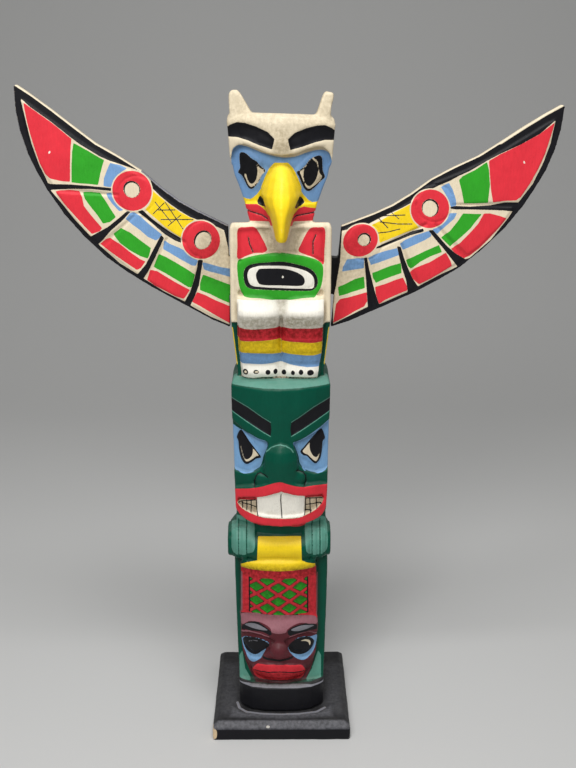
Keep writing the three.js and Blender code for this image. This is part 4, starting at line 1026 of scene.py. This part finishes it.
LEFT_MARKS = [
    area("red", (172.8, -7.1), (166.7, -7.6), (158.1, -7.9), (149.6, -8.2), (140.7, -9), (130.3, -10.2),
        (126.9, -17.5), (121.7, -27.1), (115.5, -37.8), (122.1, -41.3), (129.2, -43.9), (133.9, -43.1),
        (140.6, -38.8), (148.7, -32), (157.4, -24), (165.4, -15.7)),
    area("green", (127.6, -11.9), (122.3, -11.4), (114.2, -10.8), (105.8, -10.4), (102.6, -10),
        (101.3, -15.2), (99.5, -21.1), (97, -28.2), (102.4, -30.9), (108.8, -34.7), (114.4, -37.5),
        (120.8, -26.5), (125.2, -18.1)),
    area("blue", (97.8, -9.4), (90.9, -6.6), (85.3, -5.9), (87.3, -9.8), (88.3, -15.3), (87, -19.7),
        (84.9, -22.3), (90.1, -25.3), (93.3, -26.6), (96, -21.3), (97.1, -15)),
    area("red", (121.3, -50.1), (118.6, -47.4), (112.5, -42.9), (106.6, -39.9), (102.5, -42.4),
        (97.9, -47.4), (91.1, -50), (85.7, -51.8), (78.2, -54.1), (78.3, -56.9), (82.2, -62.2),
        (89.3, -60.5), (99.7, -57.6), (110.1, -54.6), (117.8, -51.7)),
    area("green", (104, -39), (99.4, -35.9), (92.8, -32.4), (87.1, -34.8), (80.9, -37.9), (73.7, -41.2),
        (75.5, -46.9), (79.3, -50.8), (85.3, -48), (94.1, -44.9), (99.9, -42.5)),
    area("blue", (88.9, -30.3), (85.5, -27.2), (82.1, -27.1), (78.3, -29), (74.9, -30.3), (70.7, -31.5),
        (72.4, -34.5), (74.1, -36.1), (80.4, -34.4), (85.9, -32.3)),
    area("blue", (66.5, -32.8), (64.4, -30.5), (59.1, -30.5), (49.3, -32.1), (38, -33.2), (37.9, -36.3),
        (39.4, -39.6), (45.8, -40.7), (53.6, -39.5), (60, -39.2), (67, -38.5)),
    area("green", (69, -53.4), (66.3, -46.2), (58.9, -45.3), (49.7, -46), (39.6, -46.6), (37.6, -52.6),
        (37.6, -54.9), (43.3, -56.4), (51.8, -57), (61.1, -56.3)),
    area("red", (73.3, -65.4), (71.5, -59.6), (69.4, -57.2), (60.7, -57), (51.3, -58), (42.1, -58.4),
        (37.7, -57.7), (37.9, -63.9), (39.7, -66.9), (50.5, -66.7), (62.2, -66.2)),
    area("blue", (34.5, -35.9), (29.2, -36), (21.2, -34.4), (16, -34.1), (11.7, -35.3), (5, -34.6),
        (3.8, -39.3), (6.5, -40.7), (16.8, -41.5), (25.6, -41.8), (31.6, -42.2)),
    area("green", (32.4, -47.3), (27.3, -46.2), (18.8, -45.6), (10, -45.3), (0.9, -45.3), (-2.5, -55.1),
        (0.2, -56.5), (11.8, -56.7), (20.6, -57), (30.4, -57.9)),
    area("red", (31.4, -61.4), (26.5, -59.1), (19.4, -59), (10.6, -58.7), (-2.3, -57.6), (-2.2, -66.1),
        (4.6, -68.3), (13.3, -68.9), (21.7, -69.8), (29.3, -69.3)),
    area("blue", (1.6, -34.2), (-4.3, -32.1), (-11.9, -29.8), (-20.4, -26), (-23.9, -31.6), (-14.8, -34.4),
        (-7.4, -37), (-2.7, -38.2)),
    area("green", (-4.2, -41.9), (-9.7, -40.6), (-17.7, -38.9), (-27.3, -36.8), (-35.1, -49),
        (-25.3, -50.8), (-16.8, -51.7), (-8.7, -53.4), (-5.8, -48.7)),
    area("red", (-7.6, -56), (-14, -54.5), (-22.5, -53.6), (-36.4, -51), (-43.9, -62.6), (-35.1, -63.2),
        (-24.4, -63.7), (-15.4, -64), (-8.6, -64.7)),
    area("black", (83.9, -22.6), (82.8, -24.5), (100.5, -34), (112.9, -42.3), (125, -51.2), (129.2, -55.8),
        (133.2, -48.7), (127.2, -47.4), (114.6, -39.4), (101.6, -32.1)),
    area("black", (66.6, -31.9), (69.1, -32.7), (71.4, -40.5), (74.9, -50.9), (80.3, -60.9), (83.2, -66.5),
        (75.1, -68.3), (73.2, -62.6), (71.6, -52), (68.4, -41.2)),
    area("black", (38.4, -33.9), (35.3, -34.6), (34.3, -42.1), (32.9, -53.1), (31.9, -63.5), (32.2, -70.3),
        (37.7, -70.2), (36.3, -59.1), (37.3, -48.7)),
    area("black", (5.4, -33.9), (1.8, -32.4), (-1.9, -41.1), (-6, -50.5), (-8, -59.5), (-9, -68.2),
        (-3.9, -68.8), (-3.1, -58.9), (-0.7, -49.3), (2.3, -40.2)),
    area("yellow", (60.6, -9.3), (54, -10.1), (44.6, -11), (35.6, -11.3), (27.2, -10.6), (23.2, -9.8),
        (25, -14.1), (25.5, -19), (25.4, -23.4), (24, -27.1), (30, -27.4), (39.1, -27.1), (48.9, -25.5),
        (58.5, -24.3), (57.7, -19.8), (58.2, -14.7)),
    line("black", 0.35, (50.1, -19.2), (39.5, -12.1)),
    line("black", 0.35, (44.5, -24), (24.5, -10.7)),
    line("black", 0.32, (55.1, -15.4), (37.3, -21.4)),
    line("black", 0.32, (48.9, -11.2), (27, -20.9)),
    line("black", 0.3, (51.7, -23.8), (49.1, -12.3)),
    line("black", 0.3, (37.6, -25.2), (33.8, -12.8)),
    area("black", (65.5, -28.5), (60.3, -25.5), (52.4, -27), (43, -27.9), (34, -28.2), (21.9, -27.5),
        (20.3, -30.1), (27.4, -31.6), (36.1, -31.9), (45.8, -30.7), (55.4, -29.4)),
]
LEFT_RINGS = [
    ((73.7, -17.9), (14.7, 14.7), (74.1, -17.3), (5.4, 5.4)),
    ((11.2, -20.4), (14.4, 14.4), (9.8, -19.9), (5.4, 6.7)),
]
RIGHT_FIELD = [
    (-1.5, -3.4), (4.5, -5), (18.8, -8.5), (28.2, -8.5), (44.4, -9.8), (55.4, -9.8), (61.6, -9),
    (70.5, -8), (78.7, -8.3), (86.6, -9.2), (93.3, -9.1), (102.9, -9.8), (117.1, -9.3), (127.8, -9.4),
    (143.6, -10.6), (159.8, -10.5), (174.3, -7.1), (164.3, -20.3), (154, -30.4), (140.1, -41.1),
    (125.3, -48.2), (112.8, -55.4), (94.5, -63.9), (74.6, -68.6), (69.9, -67.8), (62.8, -70.1),
    (48.7, -69.4), (30.7, -69.3), (21.2, -69.4), (-2.1, -67.4), (-12.8, -64.6), (-31, -64.1),
    (-41.5, -64.2), (-32.5, -47.1), (-25.3, -38.5), (-13.9, -23.6), (-7.2, -12.4),
]
RIGHT_MARKS = [
    area("red", (118.4, -10), (127.6, -9.7), (143.6, -10.6), (159.8, -10.5), (173, -8.3), (169.5, -12.5),
        (163.3, -19), (156.8, -26.1), (147.7, -33.5), (138.1, -40), (128.2, -45.5), (123.8, -46.1),
        (116.4, -42.4), (108, -39.1), (110.6, -30), (114.7, -19.6)),
    area("green", (92.8, -11.8), (96.7, -10.6), (106.5, -11), (116.8, -10), (115.6, -16), (111.5, -26.3),
        (104.5, -37.6), (95.8, -33.3), (88.5, -29.3), (90.9, -20.9)),
    area("blue", (78.7, -10), (82.2, -9.8), (85.3, -10.2), (85.6, -16.3), (84.4, -24), (82.7, -28.2),
        (78.8, -26.9), (78.8, -23.5), (79.4, -17.1)),
    area("red", (98.5, -43.3), (102.5, -45.4), (108.3, -50.8), (112.1, -55), (104.7, -58.3), (94.5, -62.2),
        (84.6, -65.4), (75.2, -67.2), (70.4, -66.8), (66.5, -60.7), (64.9, -55.4), (72.9, -54.6),
        (82.8, -51.4), (91.1, -48.2)),
    area("green", (84.6, -35.6), (92.4, -40.3), (97, -42.9), (91.7, -45.1), (84.2, -48.7), (74.5, -51.2),
        (65, -53.4), (62, -43.9), (70.2, -42.8), (78.8, -38.9)),
    area("blue", (74, -29.8), (80.8, -33.1), (76.8, -36.1), (70.2, -37.6), (60.6, -40.1), (58.7, -35.2),
        (65.6, -35), (69.9, -33.1)),
    area("blue", (32.5, -33.3), (37.2, -32.4), (45.4, -33), (57.1, -35.1), (56.2, -39.4), (50.5, -39.8),
        (42.3, -39.2), (32.4, -38.5)),
    area("green", (31, -46.5), (38.4, -47), (46.8, -47.3), (58.2, -48.3), (57.8, -54.2), (48.3, -52.9),
        (39.7, -53), (31.2, -54.5), (30.3, -51.3)),
    area("red", (29.5, -56.2), (34.3, -55.3), (46.4, -56.7), (60.3, -56), (60.5, -64.4), (59.8, -67.5),
        (49.2, -68.3), (40.6, -68.5), (31.2, -68.2), (29.1, -62.2)),
    area("blue", (6.3, -31.1), (12.2, -31.3), (20.1, -32.6), (29.1, -35), (28, -40.5), (20.8, -39.5),
        (12.9, -38.3), (5.8, -37)),
    area("green", (3.6, -42.9), (10.1, -43.8), (18.2, -44.7), (26.6, -46.7), (23.5, -53.8), (14.3, -52.3),
        (6.2, -51.3), (2.8, -51.2), (2.5, -46.7)),
    area("red", (0.7, -53.6), (8.5, -55.3), (16.6, -56.2), (22.9, -57.4), (22.6, -64.8), (21.9, -68),
        (11.1, -67), (2.8, -66.4), (-2.7, -67), (-1.9, -60.3)),
    area("blue", (-13.7, -28.1), (-8.3, -24.4), (-2.6, -26.7), (3.6, -29.7), (0, -36.5), (-6.5, -34.2),
        (-16, -30.8)),
    area("green", (-24.3, -39.9), (-18.5, -40.5), (-10, -40.7), (-3, -42.3), (-6.5, -50.6), (-14.3, -49),
        (-22.3, -47.7), (-26.9, -46.5)),
    area("red", (-31.9, -51), (-27.3, -49), (-19.8, -51.3), (-6.5, -54.2), (-8.8, -60.1), (-13.8, -63.2),
        (-21.6, -63), (-30.6, -63.4), (-41, -63.2)),
    area("black", (75.8, -26.1), (81.8, -27.7), (91.5, -33.5), (105, -40), (115.9, -43.4), (125.1, -48.5),
        (120.2, -53.9), (113.3, -48.9), (103.6, -43.1), (90.5, -35.5), (80.6, -30)),
    area("black", (55.9, -34.1), (59.2, -35.9), (61.2, -43.9), (63.2, -51.9), (66.2, -59.7), (70.9, -67.5),
        (72.9, -72.1), (63.1, -72.9), (63.2, -69.4), (61.5, -60.6), (59.8, -51.8), (57.9, -43.8)),
    area("black", (29.8, -33.6), (32.1, -35.7), (30.4, -44.4), (29.6, -52.7), (29.1, -62.2), (30, -70.7),
        (20.5, -70.8), (24, -60.3), (25.5, -50.5), (27.7, -41.1)),
    area("black", (3.6, -29.7), (5.9, -30.1), (3.4, -38.3), (1.1, -47.7), (-1.1, -57.1), (-3.1, -69.5),
        (-12.7, -67.8), (-8, -56.9), (-2.9, -45.5), (0.7, -36.9)),
    area("yellow", (18.8, -10.2), (27.1, -10.5), (40.1, -10), (48.4, -10.3), (55.2, -10.2), (51.4, -14.4),
        (49.3, -20.1), (50, -25.6), (50.6, -29.4), (39.6, -27.7), (29.2, -26.3), (19.5, -25.3),
        (21, -19.2), (21.1, -14.1)),
    line("black", 0.35, (27, -7.5), (30, -18.1)),
    line("black", 0.35, (31.5, -8.6), (45.7, -15.6)),
    line("black", 0.35, (26.8, -11.2), (38, -19.1), (47.3, -24.2)),
    line("black", 0.35, (21.7, -17.9), (28.7, -20.8), (37.7, -23.2)),
    line("black", 0.3, (37.8, -9.5), (40.4, -16.1)),
    area("black", (12.1, -26.5), (22.9, -27.2), (34.9, -28.6), (44.8, -29.2), (53.1, -31.2), (52.8, -33.6),
        (42.1, -31.2), (29.9, -30.1), (17.8, -28.7)),
]
RIGHT_RINGS = [
    ((64.3, -20.6), (14.4, 14.4), (64.4, -20.3), (5.4, 6.0)),
    ((7.4, -16.5), (13.5, 12.0), (9.9, -17.5), (4.2, 4.2)),
]

LEFT = {
    "node": "left_wing", "side": -1, "stand_off": 1.9, "droop": 0.0, "field": LEFT_FIELD,
    "marks": LEFT_MARKS, "rings": LEFT_RINGS,
    "edges": [("cream", TOP_EDGE[5:], 1.0), ("grey", TOP_EDGE[:6], 0.8), ("grey", TIP_EDGE, 0.6)],
    "nicks": [dot("white", (139, -27.5), (0.7, 1.2))],
}
RIGHT = {
    "node": "right_wing", "side": 1, "stand_off": 1.7, "droop": 5.0, "field": RIGHT_FIELD,
    "marks": RIGHT_MARKS, "rings": RIGHT_RINGS,
    "edges": [("cream", TOP_EDGE[:9], 0.8), ("cream", TOP_EDGE[8:], 1.5)],
    "nicks": [dot("white", (141, -23.5), (0.6, 1.4)), dot("white", (165.5, -31), (0.9, 0.9))],
}
# The wings are darker by their roots at the pole
ROOT_DARKENING = [([(-60, -10), (14, -10), (14, -36), (2, -48), (-30, -40), (-60, -40)], 0.45, 5)]
EDGE_DEEPER = 2.5
WING_WOBBLE = 0.7


def ring_marks(rings):
    marks = []
    for (x, y), (rx, ry), inner, (ix, iy) in rings:
        marks += [
            dot("cream", (x, y), (rx + 0.9, ry + 0.9)),
            dot("red", (x, y), (rx, ry)),
            dot("black", (inner[0] + 0.4, inner[1] + 0.3), (ix + 0.9, iy + 0.8)),
            dot("cream", inner, (ix, iy)),
        ]
    return marks


def wing_places(places, wing):
    pitch = math.radians(WING_PITCH - wing["droop"])
    dx = wing["side"] * places[:, 0] - (WING_SEAT[0] + wing["stand_off"])
    dz = places[:, 2] - WING_SEAT[1]
    along = WING_CORNER[0] + dx * math.cos(pitch) + dz * math.sin(pitch)
    across = WING_CORNER[1] - dx * math.sin(pitch) + dz * math.cos(pitch)
    return along, across


def paint_wing(along, across, front, wing):
    coat = Coat(len(along), "black")
    marks = [area("cream", *wing["field"]), *wing["marks"], *ring_marks(wing["rings"]), *wing["nicks"]]
    coat.lay_marks(marks, along, across, front)
    for paint, edge, half in wing["edges"]:
        coat.lay(paint, half - lines_distance([edge], along, across), front + EDGE_DEEPER)
    return coat


def fine_wing_lines(wing):
    return [points for _, kind, points, _ in wing["marks"] if kind == "line"]


# The base. Places are x and y in mm, and x and z for the chip on its front

BASE_MARKS = [
    line("grey", 1.1, (-37, -26), (-35, -34), (-29, -39.6), (-14, -42.6), (0, -43.4), (14, -42.8),
        (29, -40), (36, -34)),
    dot("white", (-11, -55.4), (1.5, 0.9)),
]
CHIP = [(-57, 1), (-53.6, 1.6), (-52.6, 5), (-53.2, 9.6), (-57, 10.6)]
BASE_STAINS = [
    ([(-56, -51), (56, -51), (56, -58), (-56, -58)], 0.75, 1),
    ([(-42, -30), (-32, -40), (0, -44), (32, -40), (42, -30), (42, -46), (0, -49), (-42, -46)], 0.7, 2.4),
    ([(-52, -44), (-36, -44), (-36, 30), (-52, 34)], 0.3, 5),
    ([(36, -44), (52, -44), (52, 34), (36, 30)], 0.3, 5),
]


# The operators


class TotemPole(bpy.types.Operator):
    """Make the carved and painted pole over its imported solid"""

    bl_idname = "totem.pole"
    bl_label = "Carved pole"

    def execute(self, context):
        sizes, paints = context.scene.totem_sizes, context.scene.totem_paints
        piece = fine_copy("pole", "carved_pole", sizes.pole_grain, 2)
        mesh = piece.data
        hand_cut(mesh, sizes.hand_wobble)
        keep(mesh, "bulge", bulge(mesh))
        x, y, n = pole_places(mesh)
        refine(mesh, (lines_distance(FINE_LINES, x, n) < FINE_REACH) & (y < FRONT))
        x, y, n = pole_places(mesh)
        score(mesh, x, n, y, POLE_CUTS)
        coat = paint_pole(x, y, n)
        coat.store(mesh, POLE_PAINTS)
        # Stains and painted shade from the outlines above
        keep(mesh, "stain_and_shade", stains_and_shade_of(STAINS_AND_SHADE, x, n, FRONT - y))
        keep(mesh, "deep", np.clip((CREST_SPAN[1] - n) / 2, 0, 1))
        thin_out(piece, (y > PLAIN_BACK) & (coat.margin() > PLAIN_MARGIN), MOST_TRIANGLES)
        material = painted_material("painted_carving", paints, POLE_PAINTS, LOOK)
        finish_piece(piece, "pole", material)
        return {"FINISHED"}


class TotemWings(bpy.types.Operator):
    """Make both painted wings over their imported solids"""

    bl_idname = "totem.wings"
    bl_label = "Painted wings"

    def execute(self, context):
        sizes, paints = context.scene.totem_sizes, context.scene.totem_paints
        material = painted_material("painted_wing", paints, WING_PAINTS, LOOK)
        for wing in (LEFT, RIGHT):
            node = wing["node"]
            piece = fine_copy(node, "painted_" + node, sizes.wing_grain, 1)
            mesh = piece.data
            keep(mesh, "bulge", bulge(mesh))
            places, _ = places_of(mesh)
            along, across = wing_places(places, wing)
            near = lines_distance(fine_wing_lines(wing), along, across) < FINE_REACH
            refine(mesh, near & (places[:, 1] < 5))
            places, _ = places_of(mesh)
            along, across = wing_places(places, wing)
            front = BOARD_MIDDLE - places[:, 1]
            paint_wing(along, across, front, wing).store(mesh, WING_PAINTS)
            keep(mesh, "stain_and_shade", stains_and_shade_of(ROOT_DARKENING, along, across, front))
            hand_cut(mesh, sizes.hand_wobble * WING_WOBBLE)
            finish_piece(piece, node, material)
        return {"FINISHED"}


class TotemBase(bpy.types.Operator):
    """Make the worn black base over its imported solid"""

    bl_idname = "totem.base"
    bl_label = "Black base"

    def execute(self, context):
        sizes, paints = context.scene.totem_sizes, context.scene.totem_paints
        piece = fine_copy("base", "worn_base", sizes.base_grain, 2)
        mesh = piece.data
        hand_cut(mesh, sizes.hand_wobble)
        keep(mesh, "bulge", bulge(mesh))
        places, _ = places_of(mesh)
        x, y, z = places.T
        coat = Coat(len(places), "black")
        coat.lay_marks(BASE_MARKS, x, y, np.minimum(z - 10.8, -24 - y))
        coat.lay_marks([loop("wood", *CHIP)], x, z, -50 - y)
        coat.store(mesh, BASE_PAINTS)
        keep(mesh, "stain_and_shade", stains_and_shade_of(BASE_STAINS, x, y, z - 10))
        look = {**LOOK, "under": "wood", "dust": 0.05, "stain_and_shade": screen(112, 112, 118), "stain_and_shade_blend": "MIX"}
        material = painted_material("black_base", paints, BASE_PAINTS, look)
        finish_piece(piece, "base", material)
        return {"FINISHED"}


FLOOR_REACH = 3.0
WALL = 1.6
WALL_TOP = 2.6
SWEEP = 0.8
LIGHT_AIM = Vector((0, 0, 0.3))
SKY_LIGHT = 0.24
LENS = 46.875
SENSOR = 36.0
CAMERA_TURN = -math.atan(0.0075)


def soft_light(name, place, size, power):
    light = bpy.data.lights.new(name, "AREA")
    light.shape = "RECTANGLE"
    light.size, light.size_y = size
    light.energy = power
    lamp = bpy.data.objects.new(name, light)
    lamp.location = place
    lamp.rotation_euler = (LIGHT_AIM - Vector(place)).to_track_quat("-Z", "Y").to_euler()
    bpy.context.scene.collection.objects.link(lamp)


class TotemStage(bpy.types.Operator):
    """Set the pale floor, the soft studio light and the camera"""

    bl_idname = "totem.stage"
    bl_label = "Stage, light and camera"

    def execute(self, context):
        sizes = context.scene.totem_sizes
        work = bmesh.new()
        places = ((-FLOOR_REACH, 0), (WALL, 0), (WALL, WALL_TOP))
        profile = [work.verts.new((-FLOOR_REACH, *place)) for place in places]
        edges = [work.edges.new(ends) for ends in zip(profile, profile[1:])]
        sheet = bmesh.ops.extrude_edge_only(work, edges=edges)
        across = [item for item in sheet["geom"] if isinstance(item, bmesh.types.BMVert)]
        bmesh.ops.translate(work, verts=across, vec=(2 * FLOOR_REACH, 0, 0))
        work.edges.ensure_lookup_table()
        corner = [edge for edge in work.edges if all(v.co.y > WALL - MM and v.co.z < MM for v in edge.verts)]
        bmesh.ops.bevel(work, geom=corner, offset=SWEEP, segments=12, profile=0.5, affect="EDGES")
        bmesh.ops.recalc_face_normals(work, faces=work.faces)
        mesh = bpy.data.meshes.new("floor")
        work.to_mesh(mesh)
        work.free()
        smooth(mesh)
        floor = bpy.data.objects.new("floor", mesh)
        context.scene.collection.objects.link(floor)
        mesh.materials.append(plain_material("pale_floor", (0.62, 0.62, 0.61), 0.85))
        soft_light("overhead", (0.03, -0.34, 1.25), (0.5, 0.3), 7)
        soft_light("front_fill", (-0.2, -0.95, 0.98), (0.6, 0.4), 7.2)
        world = bpy.data.worlds.new("studio")
        world.use_nodes = True
        sky = world.node_tree.nodes["Background"]
        feed(world.node_tree, sky, {"Color": (1, 1, 1), "Strength": SKY_LIGHT})
        context.scene.world = world
        lens = bpy.data.cameras.new("camera")
        lens.lens = LENS
        lens.sensor_fit = "VERTICAL"
        lens.sensor_width = SENSOR
        lens.sensor_height = SENSOR
        camera = bpy.data.objects.new("camera", lens)
        camera.location = (0, -sizes.camera_distance, sizes.camera_height)
        camera.rotation_euler = (math.radians(90) - sizes.camera_pitch, 0, CAMERA_TURN)
        context.scene.collection.objects.link(camera)
        context.scene.camera = camera
        context.scene.view_settings.view_transform = "Standard"
        return {"FINISHED"}


class TotemPanel(bpy.types.Panel):
    """Lists the pieces of the totem pole"""

    bl_idname = "VIEW3D_PT_totem"
    bl_label = "Totem pole"
    bl_space_type = "VIEW_3D"
    bl_region_type = "UI"
    bl_category = "Totem"

    def draw(self, context):
        for settings in (context.scene.totem_sizes, context.scene.totem_paints):
            for name in settings.__annotations__:
                self.layout.prop(settings, name)
        for step in STEPS:
            self.layout.operator(step.bl_idname)


STEPS = (TotemPole, TotemWings, TotemBase, TotemStage)
CLASSES = (TotemPaints, TotemSizes, *STEPS, TotemPanel)


def register():
    for kind in CLASSES:
        bpy.utils.register_class(kind)
    bpy.types.Scene.totem_paints = bpy.props.PointerProperty(type=TotemPaints)
    bpy.types.Scene.totem_sizes = bpy.props.PointerProperty(type=TotemSizes)


def unregister():
    del bpy.types.Scene.totem_sizes
    del bpy.types.Scene.totem_paints
    for kind in reversed(CLASSES):
        bpy.utils.unregister_class(kind)


def main():
    register()
    bpy.ops.totem.pole()
    bpy.ops.totem.wings()
    bpy.ops.totem.base()
    bpy.ops.totem.stage()


if __name__ == "__main__":
    main()
